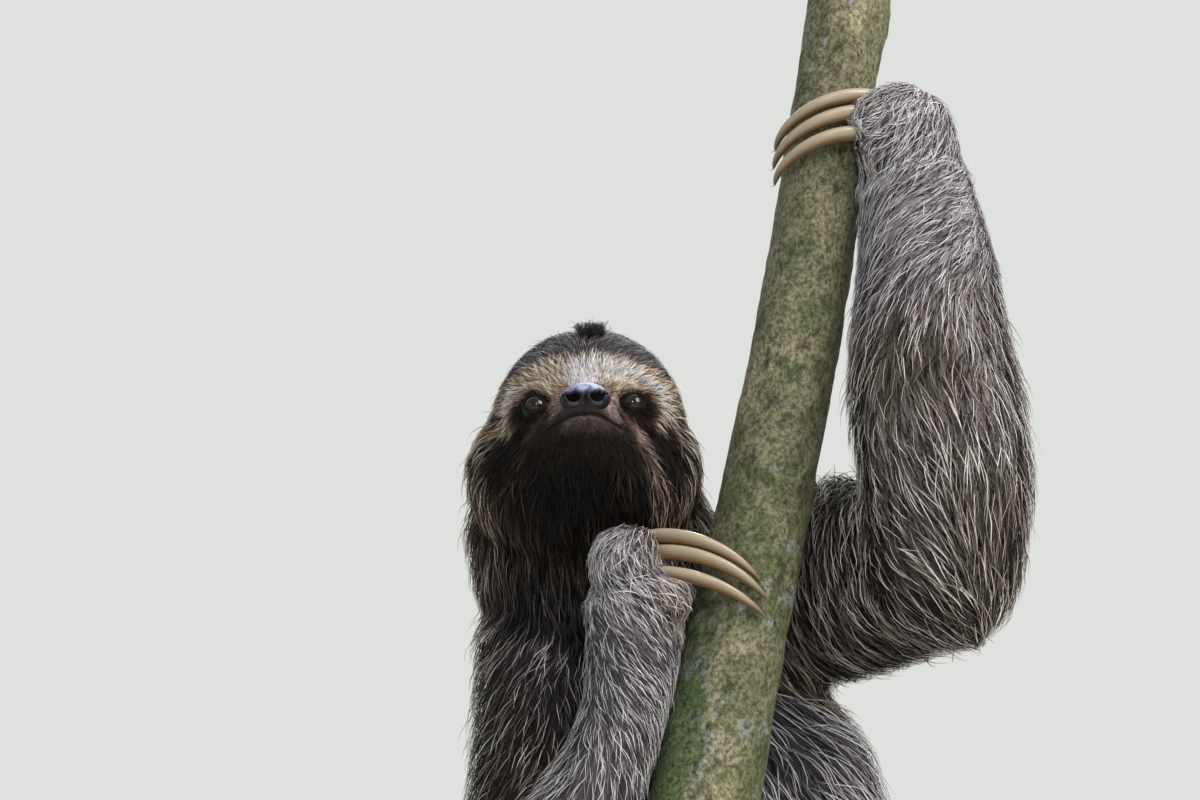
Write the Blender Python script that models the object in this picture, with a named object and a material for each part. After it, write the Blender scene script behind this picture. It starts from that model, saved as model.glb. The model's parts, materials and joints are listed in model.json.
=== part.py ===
"""A life-size three-toed sloth clinging to the back of a leaning trunk, on a display stand.

The solids are the outer form of the coat, out to the hair tips, parted where a person would
name the body's parts. Metres, +Z up. The origin is the centre of the stand's underside. The
animal looks towards -Y, past the trunk, so its left side is at +X.
"""

import math

import bmesh
import bpy
from mathutils import Matrix, Vector

# ---------------------------------------------------------------- driving dimensions
GAP = 0.0003  # clearance kept between neighbouring solids

BASE_SIZE = (0.36, 0.30, 0.022)  # width, depth, thickness of the stand's plate
BASE_CORNER = 0.03
BASE_BEVEL = 0.004
ROD_RADIUS = 0.007
ROD_SPACING = 0.034
ROD_SIDES = 14

PERCH_BOTTOM = 0.085  # height of the trunk's lower saw cut
PERCH_TOP = 0.845  # height of its upper saw cut
PERCH_LEAN = math.radians(10.4)  # towards +X
PERCH_MID_HEIGHT = 0.5
PERCH_MID_X = 0.0249  # the trunk's straight axis at that height
PERCH_Y = -0.045
PERCH_SLIM_RADIUS = 0.0190  # of the trunk's upper end, above the slim height
PERCH_SLIM_HEIGHT = 0.787
PERCH_TAPER = 0.044  # the radius grows by this times the square of the way down from there
PERCH_BOW = 0.0052  # how far the trunk bows out from its straight axis, towards +X
PERCH_BOW_HEIGHT = 0.62
PERCH_BOW_REACH = 0.13
PERCH_SIDES = 16
PERCH_RINGS = 16
PERCH_SWELLINGS = (  # height, size and reach of each low ring of swollen bark
    (0.775, 0.0016, 0.022),
    (0.655, 0.0010, 0.022),
    (0.350, 0.0014, 0.026),
    (0.180, 0.0018, 0.030),
)

HEAD_PITCH = math.radians(7.0)  # the muzzle points this far above the horizon
HEAD_ROLL = math.radians(-1.4)
EYE_RADIUS = 0.0066
EYE_SPREAD = 0.0233  # from the middle of the face
EYE_FORWARD = 0.0222
NOSE_PLACE = (0.0455, -0.0062)  # ahead of the head's centre, and above it

CLAW_HALF_WIDTH = 0.0034
CLAW_HALF_DEPTH = 0.0049  # claws are flattened from side to side
CLAW_TAPER = (1.7, 0.62)  # a claw's size is (1 - t ** first) ** second along it

LIMB_SIDES = 12
BODY_SIDES = 18
HEAD_GRID = (24, 17)  # columns and rows of faces
PAW_GRID = (18, 11)
EYE_GRID = (10, 7)
NOSE_GRID = (12, 8)
CLAW_SIDES = 6
CLAW_STEPS = 7

SIDEWAYS = Vector((1.0, 0.0, 0.0))
UPWARDS = Vector((0.0, 0.0, 1.0))


# ---------------------------------------------------------------- places
def perch_x(height):
    """The trunk's straight axis at a height."""
    return PERCH_MID_X + math.tan(PERCH_LEAN) * (height - PERCH_MID_HEIGHT)


def perch_bow(height):
    """How far the trunk itself stands to +X of that straight axis."""
    return PERCH_BOW * math.exp(-(((height - PERCH_BOW_HEIGHT) / PERCH_BOW_REACH) ** 2))


def perch_radius(height):
    return PERCH_SLIM_RADIUS + PERCH_TAPER * max(PERCH_SLIM_HEIGHT - height, 0.0) ** 2


def at(right, behind, height):
    """A point given from the straight axis at its own height: to +X, to +Y, and above the floor."""
    return Vector((perch_x(height) + right, PERCH_Y + behind, height))


HEAD_CENTRE = at(-0.0865, 0.002, 0.578)
HEAD_TURN = (
    Matrix.Rotation(HEAD_ROLL, 3, "Y") @ Matrix.Rotation(-HEAD_PITCH, 3, "X") @ Matrix.Diagonal((1, -1, 1))
)


def on_head(right, forward, up):
    """A matrix of the head's own axes at a point: to the animal's left, ahead and up."""
    place = HEAD_TURN.to_4x4()
    place.translation = HEAD_CENTRE + HEAD_TURN @ Vector((right, forward, up))
    return place


# ---------------------------------------------------------------- materials
def material(name, colour, roughness, metallic=0.0):
    made = bpy.data.materials.new(name)
    made.use_nodes = True
    shader = made.node_tree.nodes["Principled BSDF"]
    shader.inputs["Base Color"].default_value = (*colour, 1.0)
    shader.inputs["Roughness"].default_value = roughness
    shader.inputs["Metallic"].default_value = metallic
    return made


for old in list(bpy.data.objects):
    bpy.data.objects.remove(old)

FUR_GREY = material("coat_grey_brown", (0.23, 0.18, 0.14), 0.9)
FUR_DARK = material("coat_dark_throat", (0.09, 0.06, 0.045), 0.9)
FUR_FACE = material("coat_pale_face", (0.42, 0.34, 0.26), 0.85)
HORN = material("claw_horn", (0.62, 0.47, 0.30), 0.4)
NOSE_SKIN = material("nose_skin", (0.03, 0.03, 0.035), 0.35)
EYE_BROWN = material("eye_brown", (0.05, 0.022, 0.012), 0.08)
BARK = material("bark", (0.27, 0.25, 0.16), 0.95)
STAND_WOOD = material("stand_wood", (0.05, 0.04, 0.035), 0.4)
STAND_STEEL = material("stand_steel", (0.45, 0.45, 0.46), 0.35, 1.0)


# ---------------------------------------------------------------- mesh helpers
def add_object(name, mesh, finish):
    mesh.name = name
    mesh.materials.clear()
    mesh.materials.append(finish)
    obj = bpy.data.objects.new(name, mesh)
    bpy.context.scene.collection.objects.link(obj)
    mesh.shade_smooth()
    mesh.set_sharp_from_angle(angle=math.radians(50))
    return obj


def mesh_of(bm, name):
    bmesh.ops.recalc_face_normals(bm, faces=bm.faces)
    mesh = bpy.data.meshes.new(name)
    bm.to_mesh(mesh)
    bm.free()
    return mesh


def skin_loops(bm, loops, first_pole=None, last_pole=None):
    """Faces between rings of vertices, each end closed to its pole, or flat where it has none."""
    for one, two in zip(loops, loops[1:]):
        for k in range(len(one)):
            n = (k + 1) % len(one)
            bm.faces.new((one[k], one[n], two[n], two[k]))
    for loop, pole in ((loops[0], first_pole), (loops[-1], last_pole)):
        if pole is None:
            bm.faces.new(loop)
            continue
        tip = bm.verts.new(pole)
        for k in range(len(loop)):
            bm.faces.new((loop[k], loop[(k + 1) % len(loop)], tip))


def ring(bm, centre, one, two, sides):
    """A ring of vertices round a centre, on the ellipse whose half axes are the two vectors."""
    turns = [2 * math.pi * k / sides for k in range(sides)]
    return [bm.verts.new(centre + one * math.cos(a) + two * math.sin(a)) for a in turns]


def smooth_between(values, position):
    """A Catmull-Rom value through the list at a fractional position along it."""
    last = len(values) - 1
    i = min(int(position), last - 1)
    t = position - i
    a, b = values[max(i - 1, 0)], values[i]
    c, d = values[i + 1], values[min(i + 2, last)]
    curve = (2 * a - 5 * b + 4 * c - d) * t**2 + (3 * b - a - 3 * c + d) * t**3
    return 0.5 * (2 * b + (c - a) * t + curve)


def tube_mesh(name, stations, side, sides=LIMB_SIDES, steps=2, dome=0.8):
    """A closed body lofted through stations of (centre, half width, half depth).

    The width lies along the side direction and the depth across it. Each end is closed by a
    dome as long as the given share of the end's half width.
    """
    centres = [s[0] for s in stations]
    last = len(stations) - 1
    rings = []
    for i in range(last * steps + 1):
        p = i / steps
        ahead = smooth_between(centres, min(p + 0.05, last))
        back = smooth_between(centres, max(p - 0.05, 0))
        width = smooth_between([s[1] for s in stations], p)
        depth = smooth_between([s[2] for s in stations], p)
        rings.append((smooth_between(centres, p), (ahead - back).normalized(), width, depth))
    poles = []
    for end, sign in ((rings[0], -1), (rings[-1], 1)):
        centre, along, width, depth = end
        reach = along * sign * dome * width
        poles.append(centre + reach)
        for angle in (math.radians(28), math.radians(55)):
            cap = (centre + reach * math.sin(angle), along, width * math.cos(angle), depth * math.cos(angle))
            rings = [cap] + rings if sign < 0 else rings + [cap]
    bm = bmesh.new()
    loops = []
    for centre, along, width, depth in rings:
        across = (side - along * side.dot(along)).normalized()
        loops.append(ring(bm, centre, across * width, along.cross(across) * depth, sides))
    skin_loops(bm, loops, *poles)
    return mesh_of(bm, name)


def limb(name, stations, side, finish=FUR_GREY):
    return add_object(name, tube_mesh(name, stations, side), finish)


def slice_of(name, whole, finish, cuts):
    """The stretch of a whole body that lies ahead of each cut, a plane given by point and normal."""
    bm = bmesh.new()
    bm.from_mesh(whole)
    for point, ahead in cuts:
        geometry = bm.verts[:] + bm.edges[:] + bm.faces[:]
        cut = bmesh.ops.bisect_plane(
            bm, geom=geometry, plane_co=point + ahead * GAP / 2, plane_no=ahead, clear_inner=True
        )
        rim = [e for e in cut["geom_cut"] if isinstance(e, bmesh.types.BMEdge)]
        bmesh.ops.edgeloop_fill(bm, edges=rim)
    return add_object(name, mesh_of(bm, name), finish)


def soft_max(a, b, blend):
    """The larger of two lengths, rounded over where they are nearly equal."""
    h = max(blend - abs(a - b), 0.0) / blend
    return max(a, b) + h * h * blend / 4


def lobe_reach(direction, offset, axes):
    """How far a ray from the origin runs to the far side of an ellipsoid, or 0 where it misses."""
    d = Vector(direction[i] / axes[i] for i in range(3))
    o = Vector(-offset[i] / axes[i] for i in range(3))
    a, b, c = d.dot(d), 2 * o.dot(d), o.dot(o) - 1
    inside = b * b - 4 * a * c
    return (-b + math.sqrt(inside)) / (2 * a) if inside > 0 else 0.0


def star_body(name, finish, place, lobes, grid, blend):
    """A closed body round one centre: as far out, each way, as its ellipsoid lobes reach together.

    place is the matrix of the body's own axes, and the poles of the grid lie on its second axis,
    so that the finest faces are in front.
    """
    columns, rows = grid

    def point(polar, turn):
        level = Vector((math.cos(turn), 0.0, math.sin(turn))) * math.sin(polar)
        way = level + Vector((0.0, math.cos(polar), 0.0))
        reach = 0.001
        for offset, axes in lobes:
            reach = soft_max(reach, lobe_reach(way, offset, axes), blend)
        return place @ (way * reach)

    bm = bmesh.new()
    loops = []
    for i in range(1, rows):
        turns = [2 * math.pi * k / columns for k in range(columns)]
        loops.append([bm.verts.new(point(math.pi * i / rows, turn)) for turn in turns])
    skin_loops(bm, loops, point(0.0, 0.0), point(math.pi, 0.0))
    return add_object(name, mesh_of(bm, name), finish)


def frame_of(centre, forward, up=UPWARDS):
    """A matrix whose second axis is forward and third axis is near up."""
    y = forward.normalized()
    x = y.cross(up).normalized()
    made = Matrix((x, y, x.cross(y))).transposed().to_4x4()
    made.translation = centre
    return made


def claw(name, root, tip, bulge, sagitta, scale):
    """A horn claw on a circular arc from root to tip, whose middle stands out by the sagitta."""
    chord = tip - root
    out = (bulge - chord * bulge.dot(chord) / chord.length_squared).normalized()
    radius = (chord.length**2 / 4 + sagitta**2) / (2 * sagitta)
    half_angle = math.asin(chord.length / 2 / radius)
    centre = (root + tip) / 2 + out * (sagitta - radius)
    along = chord.normalized()
    sideways = along.cross(out)
    bm = bmesh.new()
    loops = []
    for i in range(CLAW_STEPS):
        t = i / CLAW_STEPS
        angle = half_angle * (2 * t - 1)
        ray = out * math.cos(angle) + along * math.sin(angle)
        size = scale * (1 - t ** CLAW_TAPER[0]) ** CLAW_TAPER[1]
        middle = centre + ray * (radius - CLAW_HALF_DEPTH * scale * t / 2)
        loops.append(
            ring(bm, middle, sideways * CLAW_HALF_WIDTH * size, ray * CLAW_HALF_DEPTH * size, CLAW_SIDES)
        )
    skin_loops(bm, loops, None, tip)
    return add_object(name, mesh_of(bm, name), HORN)


# ---------------------------------------------------------------- cutting neighbours apart
def grown(obj, mesh, distance):
    """A hidden copy of a solid as first made, larger all round by the distance, as a cutter."""
    mesh = mesh.copy()
    bm = bmesh.new()
    bm.from_mesh(mesh)
    bmesh.ops.triangulate(bm, faces=bm.faces)
    bm.normal_update()
    moves = [(v, v.normal * distance * v.calc_shell_factor()) for v in bm.verts]
    for vert, move in moves:
        vert.co += move
    bm.to_mesh(mesh)
    bm.free()
    cutter = bpy.data.objects.new("cutter_" + obj.name, mesh)
    cutter.hide_render = True
    cutter.display_type = "WIRE"
    bpy.context.scene.collection.objects.link(cutter)
    return cutter


def keep_largest_shell(bm):
    """Deletes all but the largest connected shell."""
    left, shells = set(bm.verts), []
    while left:
        seed = left.pop()
        shell, stack = {seed}, [seed]
        while stack:
            for edge in stack.pop().link_edges:
                for v in edge.verts:
                    if v in left:
                        left.remove(v)
                        shell.add(v)
                        stack.append(v)
        shells.append(shell)
    keep = max(shells, key=len)
    bmesh.ops.delete(bm, geom=[v for v in bm.verts if v not in keep], context="VERTS")


def boxes_meet(one, two):
    a = [one.matrix_world @ Vector(c) for c in one.bound_box]
    b = [two.matrix_world @ Vector(c) for c in two.bound_box]
    apart = [
        min(p[i] for p in a) > max(p[i] for p in b) + GAP or min(p[i] for p in b) > max(p[i] for p in a) + GAP
        for i in range(3)
    ]
    return not any(apart)


def cut_by(obj, others, whole):
    """Takes the others' whole forms, each grown by the gap, out of a solid, as one closed shell."""
    cutters = []
    for other in others:
        if not boxes_meet(obj, other):
            continue
        cutter = grown(other, whole[other.name], GAP)
        cut = obj.modifiers.new("part_" + other.name, "BOOLEAN")
        cut.operation = "DIFFERENCE"
        cut.solver = "EXACT"
        cut.object = cutter
        cutters.append(cutter)
    if not cutters:
        return
    bpy.context.view_layer.update()
    evaluated = obj.evaluated_get(bpy.context.evaluated_depsgraph_get())
    mesh = bpy.data.meshes.new_from_object(evaluated)
    obj.modifiers.clear()
    bm = bmesh.new()
    bm.from_mesh(mesh)
    bmesh.ops.remove_doubles(bm, verts=bm.verts, dist=2e-5)
    bmesh.ops.triangulate(bm, faces=bm.faces)
    keep_largest_shell(bm)
    bm.to_mesh(mesh)
    bm.free()
    finish = obj.data.materials[0]
    obj.data = mesh
    mesh.materials.clear()
    mesh.materials.append(finish)
    mesh.name = obj.name
    for cutter in cutters:
        bpy.data.objects.remove(cutter)


# ---------------------------------------------------------------- the perch and its stand
def make_perch():
    """The cut length of trunk: a leaning, bowed and tapering log with a few low swellings."""
    bm = bmesh.new()
    loops = []
    for i in range(PERCH_RINGS):
        height = PERCH_BOTTOM + (PERCH_TOP - PERCH_BOTTOM) * i / (PERCH_RINGS - 1)
        radius = perch_radius(height)
        for level, size, reach in PERCH_SWELLINGS:
            radius += size * math.exp(-(((height - level) / reach) ** 2))
        centre = at(perch_bow(height), 0.0, height)
        loops.append(ring(bm, centre, SIDEWAYS * radius, Vector((0.0, radius, 0.0)), PERCH_SIDES))
    skin_loops(bm, loops)
    return add_object("perch", mesh_of(bm, "perch"), BARK)


def make_stand():
    """The flat plate on the floor, with two short rods up to the trunk's lower cut."""
    width, depth, thickness = BASE_SIZE
    bm = bmesh.new()
    bmesh.ops.create_cube(bm, size=1.0)
    for v in bm.verts:
        v.co = Vector((v.co.x * width, v.co.y * depth, (v.co.z + 0.5) * thickness))
    upright = [e for e in bm.edges if abs(e.verts[0].co.z - e.verts[1].co.z) > thickness / 2]
    bmesh.ops.bevel(bm, geom=upright, offset=BASE_CORNER, segments=5, profile=0.5, affect="EDGES")
    top = [e for e in bm.edges if min(v.co.z for v in e.verts) > thickness - 1e-5]
    bmesh.ops.bevel(bm, geom=top, offset=BASE_BEVEL, segments=2, profile=0.5, affect="EDGES")
    add_object("stand_base", mesh_of(bm, "stand_base"), STAND_WOOD)
    length = PERCH_BOTTOM - thickness - 2 * GAP
    for name, sign in (("stand_rod_left", 1), ("stand_rod_right", -1)):
        foot = at(perch_bow(PERCH_BOTTOM) + sign * ROD_SPACING / 2, 0.0, PERCH_BOTTOM)
        bm = bmesh.new()
        bmesh.ops.create_cone(
            bm,
            cap_ends=True,
            segments=ROD_SIDES,
            radius1=ROD_RADIUS,
            radius2=ROD_RADIUS,
            depth=length,
            matrix=Matrix.Translation((foot.x, foot.y, thickness + GAP + length / 2)),
        )
        add_object(name, mesh_of(bm, name), STAND_STEEL)


# ---------------------------------------------------------------- the head
def make_head():
    """The head with its coat: a round cranium, a short muzzle, the jaw and the ruff."""
    lobes = (
        ((0.0020, -0.012, 0.001), (0.0465, 0.0420, 0.0508)),  # cranium
        ((-0.0009, -0.016, -0.0180), (0.0570, 0.0390, 0.0460)),  # ruff of long hair over the cheeks
        ((0.0, 0.006, 0.006), (0.0360, 0.0270, 0.0300)),  # brow and eye line
        ((0.0, 0.008, -0.019), (0.0300, 0.0350, 0.0230)),  # jaw and chin
        ((0.0, 0.016, -0.009), (0.0190, 0.0345, 0.0150)),  # muzzle
    )
    return star_body("head", FUR_FACE, on_head(0.0, 0.0, 0.0), lobes, HEAD_GRID, 0.007)


def make_face():
    """The nose pad and the two eyes, as pieces of their own."""
    pad = (
        ((0.0, 0.0, 0.0), (0.0120, 0.0060, 0.0072)),
        ((0.0, 0.0002, 0.0022), (0.0095, 0.0058, 0.0060)),
    )
    made = [star_body("nose", NOSE_SKIN, on_head(0.0, *NOSE_PLACE), pad, NOSE_GRID, 0.002)]
    ball = ((0.0, 0.0, 0.0), (EYE_RADIUS, EYE_RADIUS, EYE_RADIUS))
    for name, sign in (("eye_left", 1), ("eye_right", -1)):
        place = on_head(sign * EYE_SPREAD, EYE_FORWARD, 0.0)
        made.append(star_body(name, EYE_BROWN, place, (ball,), EYE_GRID, 0.001))
    return made


# ---------------------------------------------------------------- the body
def make_torso():
    """One body from the nape to the rump, parted by two flat cuts into neck, chest and belly."""
    stations = [
        (at(-0.0865, 0.020, 0.572), 0.050, 0.044),  # nape, inside the head's coat
        (at(-0.0812, 0.042, 0.546), 0.058, 0.052),
        (at(-0.0675, 0.063, 0.520), 0.062, 0.058),
        (at(-0.0515, 0.079, 0.493), 0.064, 0.062),  # shoulders
        (at(-0.0300, 0.088, 0.460), 0.074, 0.067),
        (at(-0.0052, 0.095, 0.420), 0.090, 0.072),
        (at(0.0050, 0.100, 0.385), 0.096, 0.076),
        (at(0.0120, 0.104, 0.350), 0.100, 0.079),
        (at(0.0135, 0.104, 0.300), 0.101, 0.079),
        (at(0.0135, 0.099, 0.245), 0.093, 0.074),
        (at(0.0125, 0.091, 0.203), 0.072, 0.061),
        (at(0.0120, 0.083, 0.180), 0.046, 0.041),  # rump
    ]
    whole = tube_mesh("torso", stations, SIDEWAYS, BODY_SIDES, steps=1, dome=0.6)
    nape_cut = stations[3][0]
    nape_way = (stations[4][0] - stations[2][0]).normalized()
    waist_cut = stations[6][0]
    waist_way = (stations[7][0] - stations[5][0]).normalized()
    neck = slice_of("neck", whole, FUR_DARK, [(nape_cut, -nape_way)])
    chest = slice_of("chest", whole, FUR_GREY, [(nape_cut, nape_way), (waist_cut, -waist_way)])
    belly = slice_of("belly", whole, FUR_GREY, [(waist_cut, waist_way)])
    return [neck, chest, belly]


def make_tail():
    """The stub of a tail, mostly coat."""
    stations = [
        (at(0.0120, 0.100, 0.205), 0.022, 0.018),
        (at(0.0120, 0.132, 0.185), 0.020, 0.017),
        (at(0.0120, 0.152, 0.166), 0.016, 0.014),
    ]
    return limb("tail", stations, SIDEWAYS)


def make_arms():
    """Both arms: the right one folded beside the trunk, the left one reaching up it."""
    right_upper = [
        (at(-0.0870, 0.066, 0.487), 0.036, 0.040),
        (at(-0.0790, 0.042, 0.436), 0.036, 0.037),
        (at(-0.0740, 0.020, 0.386), 0.035, 0.034),
        (at(-0.0690, 0.006, 0.348), 0.032, 0.031),
    ]
    right_fore = [
        (at(-0.0700, -0.002, 0.338), 0.034, 0.033),
        (at(-0.0620, -0.010, 0.372), 0.028, 0.029),
        (at(-0.0490, -0.014, 0.406), 0.0225, 0.025),
        (at(-0.0430, -0.016, 0.438), 0.0205, 0.023),
        (at(-0.0440, -0.018, 0.468), 0.0225, 0.022),
        (at(-0.0480, -0.020, 0.488), 0.0225, 0.021),
    ]
    left_upper = [
        (at(-0.0050, 0.092, 0.508), 0.048, 0.046),
        (at(0.0360, 0.055, 0.517), 0.051, 0.043),
        (at(0.0700, 0.015, 0.514), 0.046, 0.040),
        (at(0.0930, -0.014, 0.510), 0.040, 0.036),
    ]
    left_fore = [
        (at(0.0905, -0.018, 0.500), 0.038, 0.032),
        (at(0.0870, -0.019, 0.540), 0.0415, 0.036),
        (at(0.0765, -0.018, 0.577), 0.0430, 0.036),
        (at(0.0675, -0.017, 0.612), 0.0398, 0.034),
        (at(0.0610, -0.015, 0.645), 0.0350, 0.031),
        (at(0.0540, -0.013, 0.670), 0.0308, 0.028),
        (at(0.0470, -0.012, 0.694), 0.0265, 0.025),
    ]
    upper = limb("arm_right_upper", right_upper, SIDEWAYS), limb("arm_left_upper", left_upper, UPWARDS)
    fore = limb("arm_right_fore", right_fore, SIDEWAYS), limb("arm_left_fore", left_fore, SIDEWAYS)
    return upper, fore


def make_legs():
    """Both legs hold the trunk between them, the left foot a step higher than the right."""
    left_thigh = [
        (at(0.0600, 0.098, 0.240), 0.049, 0.050),
        (at(0.0930, 0.060, 0.272), 0.046, 0.046),
        (at(0.1120, 0.024, 0.300), 0.040, 0.039),
    ]
    left_shin = [
        (at(0.1130, 0.016, 0.298), 0.037, 0.037),
        (at(0.0930, -0.012, 0.268), 0.032, 0.032),
        (at(0.0700, -0.028, 0.244), 0.026, 0.025),
    ]
    right_thigh = [
        (at(-0.0460, 0.095, 0.228), 0.049, 0.050),
        (at(-0.0770, 0.056, 0.246), 0.046, 0.046),
        (at(-0.0980, 0.020, 0.258), 0.040, 0.039),
    ]
    right_shin = [
        (at(-0.0980, 0.012, 0.254), 0.037, 0.037),
        (at(-0.0860, -0.014, 0.216), 0.032, 0.032),
        (at(-0.0690, -0.030, 0.182), 0.026, 0.025),
    ]
    thighs = limb("leg_left_thigh", left_thigh, UPWARDS), limb("leg_right_thigh", right_thigh, UPWARDS)
    shins = limb("leg_left_shin", left_shin, UPWARDS), limb("leg_right_shin", right_shin, UPWARDS)
    return thighs, shins


def make_paws():
    """Hands and feet: mittens of three joined digits over a broad heel that presses on the trunk."""
    right_hand = (
        ((0.0, 0.000, 0.000), (0.0190, 0.0152, 0.0175)),  # back of the hand
        ((0.0, 0.008, 0.0065), (0.0140, 0.0080, 0.0110)),  # knuckles above the claws
        ((-0.001, 0.0175, -0.0160), (0.0150, 0.0155, 0.0105)),  # heel of the palm
    )
    left_hand = (
        ((0.0, -0.001, 0.0018), (0.0190, 0.0215, 0.0208)),
        ((0.0, 0.0115, 0.0030), (0.0150, 0.0175, 0.0155)),
        ((0.0, -0.0085, -0.013), (0.0180, 0.0190, 0.0240)),
        ((0.0, 0.006, -0.012), (0.0150, 0.0170, 0.0150)),
    )
    foot = (
        ((0.0, 0.000, 0.000), (0.0180, 0.0290, 0.0170)),
        ((0.0, 0.010, 0.001), (0.0150, 0.0220, 0.0130)),
        ((0.0, -0.010, -0.002), (0.0190, 0.0200, 0.0190)),
    )
    places = {
        "hand_right": (at(-0.0548, -0.024, 0.5058), Vector((0.95, -0.30, 0.0)), right_hand),
        "hand_left": (at(0.0375, -0.018, 0.7160), Vector((-0.95, -0.30, 0.0)), left_hand),
        "foot_left": (at(0.0530, -0.042, 0.2360), Vector((-0.90, -0.42, -0.05)), foot),
        "foot_right": (at(-0.0500, -0.045, 0.1700), Vector((0.90, -0.42, -0.05)), foot),
    }
    return [
        star_body(name, FUR_GREY, frame_of(centre, forward), lobes, PAW_GRID, 0.006)
        for name, (centre, forward, lobes) in places.items()
    ]


def make_claws():
    """Three claws on each hand and foot, hooked round the front of the trunk."""
    made = []

    def set_of_three(paw, roots, tips, bulge, sagitta, scale):
        for k, (root, tip) in enumerate(zip(roots, tips)):
            made.append(claw(f"claw_{paw}_{k + 1}", at(*root), at(*tip), bulge, sagitta, scale))

    set_of_three(
        "hand_right",
        [(-0.0462, -0.0215, 0.5186), (-0.0431, -0.0225, 0.5111), (-0.0476, -0.021, 0.5011)],
        [(0.0104, -0.025, 0.4979), (0.0153, -0.024, 0.4895), (0.0154, -0.024, 0.4819)],
        Vector((0.18, -1.0, 0.49)),
        0.0135,
        1.0,
    )
    set_of_three(
        "hand_left",
        [(0.0191, -0.0185, 0.7296), (0.0204, -0.0205, 0.7209), (0.0212, -0.0195, 0.7107)],
        [(-0.0230, -0.006, 0.7089), (-0.0223, -0.007, 0.6996), (-0.0204, -0.008, 0.6913)],
        Vector((-0.81, -1.0, 0.12)),
        0.0189,
        1.0,
    )
    set_of_three(
        "foot_left",
        [(0.0280, -0.052, 0.2440), (0.0280, -0.054, 0.2360), (0.0280, -0.052, 0.2280)],
        [(-0.0270, -0.029, 0.2350), (-0.0280, -0.029, 0.2260), (-0.0270, -0.029, 0.2170)],
        Vector((0.1, -1.0, 0.2)),
        0.0140,
        0.95,
    )
    set_of_three(
        "foot_right",
        [(-0.0250, -0.055, 0.1780), (-0.0250, -0.057, 0.1700), (-0.0250, -0.055, 0.1620)],
        [(0.0310, -0.031, 0.1690), (0.0320, -0.031, 0.1600), (0.0310, -0.031, 0.1510)],
        Vector((-0.1, -1.0, 0.2)),
        0.0140,
        0.95,
    )
    return made


def main():
    make_stand()
    perch = make_perch()
    head = make_head()
    face = make_face()
    torso = make_torso()
    tail = make_tail()
    upper_arms, forearms = make_arms()
    thighs, shins = make_legs()
    paws = make_paws()
    claws = make_claws()
    # What comes first keeps its whole form, and what comes later is cut back to meet it. The
    # torso's slices already meet each other at their flat cuts.
    order = [perch, *claws, *face, *paws, head, *forearms, *shins, *upper_arms, *thighs]
    whole = {obj.name: obj.data for obj in [*order, *torso]}
    for i, obj in enumerate(order):
        cut_by(obj, order[:i], whole)
    for obj in torso:
        cut_by(obj, order, whole)
    cut_by(tail, [*order, *torso], whole)


main()
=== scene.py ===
"""The looks of a life-size museum model of a three-toed sloth on its perch and display stand.

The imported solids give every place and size. One skin replaces the solids of flesh and lies
inside them by the depth of the coat, and tufts of hair grow from it out to the solids' surface.
Units are metres, +Z is up and the animal looks towards -Y, so its left side is at +X.
"""

import json
import logging
import math
from dataclasses import dataclass, field
from enum import Enum

import bpy
import numpy as np
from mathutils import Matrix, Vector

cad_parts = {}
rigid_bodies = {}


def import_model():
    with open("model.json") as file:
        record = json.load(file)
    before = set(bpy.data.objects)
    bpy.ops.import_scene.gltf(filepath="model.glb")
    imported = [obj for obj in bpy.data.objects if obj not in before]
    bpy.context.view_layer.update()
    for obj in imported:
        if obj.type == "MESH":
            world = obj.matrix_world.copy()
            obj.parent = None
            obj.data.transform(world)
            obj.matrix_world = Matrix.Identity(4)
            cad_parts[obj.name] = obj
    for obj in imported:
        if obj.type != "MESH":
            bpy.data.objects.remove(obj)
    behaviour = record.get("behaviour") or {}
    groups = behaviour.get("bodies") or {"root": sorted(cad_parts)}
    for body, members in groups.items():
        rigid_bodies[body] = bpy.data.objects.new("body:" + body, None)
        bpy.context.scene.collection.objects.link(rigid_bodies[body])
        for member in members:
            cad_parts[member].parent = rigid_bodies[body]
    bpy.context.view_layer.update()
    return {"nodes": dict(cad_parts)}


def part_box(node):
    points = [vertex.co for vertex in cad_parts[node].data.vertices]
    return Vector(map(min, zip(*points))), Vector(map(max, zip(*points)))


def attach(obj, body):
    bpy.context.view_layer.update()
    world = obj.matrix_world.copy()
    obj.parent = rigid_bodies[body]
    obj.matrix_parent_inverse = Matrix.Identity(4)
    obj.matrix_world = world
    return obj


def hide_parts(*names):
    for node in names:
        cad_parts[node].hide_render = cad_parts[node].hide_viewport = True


for old in list(bpy.data.objects):
    bpy.data.objects.remove(old)
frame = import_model()

LOG = logging.getLogger("sloth")
Array = np.ndarray
Spot = tuple[float, float, float]
Piece = bpy.types.Object
Material = bpy.types.Material
Tree = bpy.types.NodeTree
Node = bpy.types.Node
Output = bpy.types.NodeSocket
MM = 0.001
LEFT, BACK, UP = np.eye(3)
BODY = "root"
TONE = "tone"
FILM = "film"
BAKE_MAP = "OFBake"


# ---------------------------------------------------------------- numbers, colours and noise
def linear(hex_code: str) -> Array:
    """Turns an sRGB hex code to linear light.

    Args:
        hex_code: Six hex digits after a hash.

    Returns:
        Red, green and blue, each from 0 to 1.
    """
    coded = np.array([int(hex_code[i : i + 2], 16) for i in (1, 3, 5)]) / 255.0
    return np.where(coded <= 0.04045, coded / 12.92, ((coded + 0.055) / 1.055) ** 2.4)


def smooth(value: Array, low: float, high: float) -> Array:
    """Rises from 0 at low to 1 at high as 3t^2 - 2t^3; low may be the larger.

    Args:
        value: Any numbers.
        low: Where the step starts.
        high: Where the step ends.

    Returns:
        The step's height at each value.
    """
    t = np.clip((value - low) / (high - low), 0.0, 1.0)
    return t * t * (3.0 - 2.0 * t)


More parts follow.
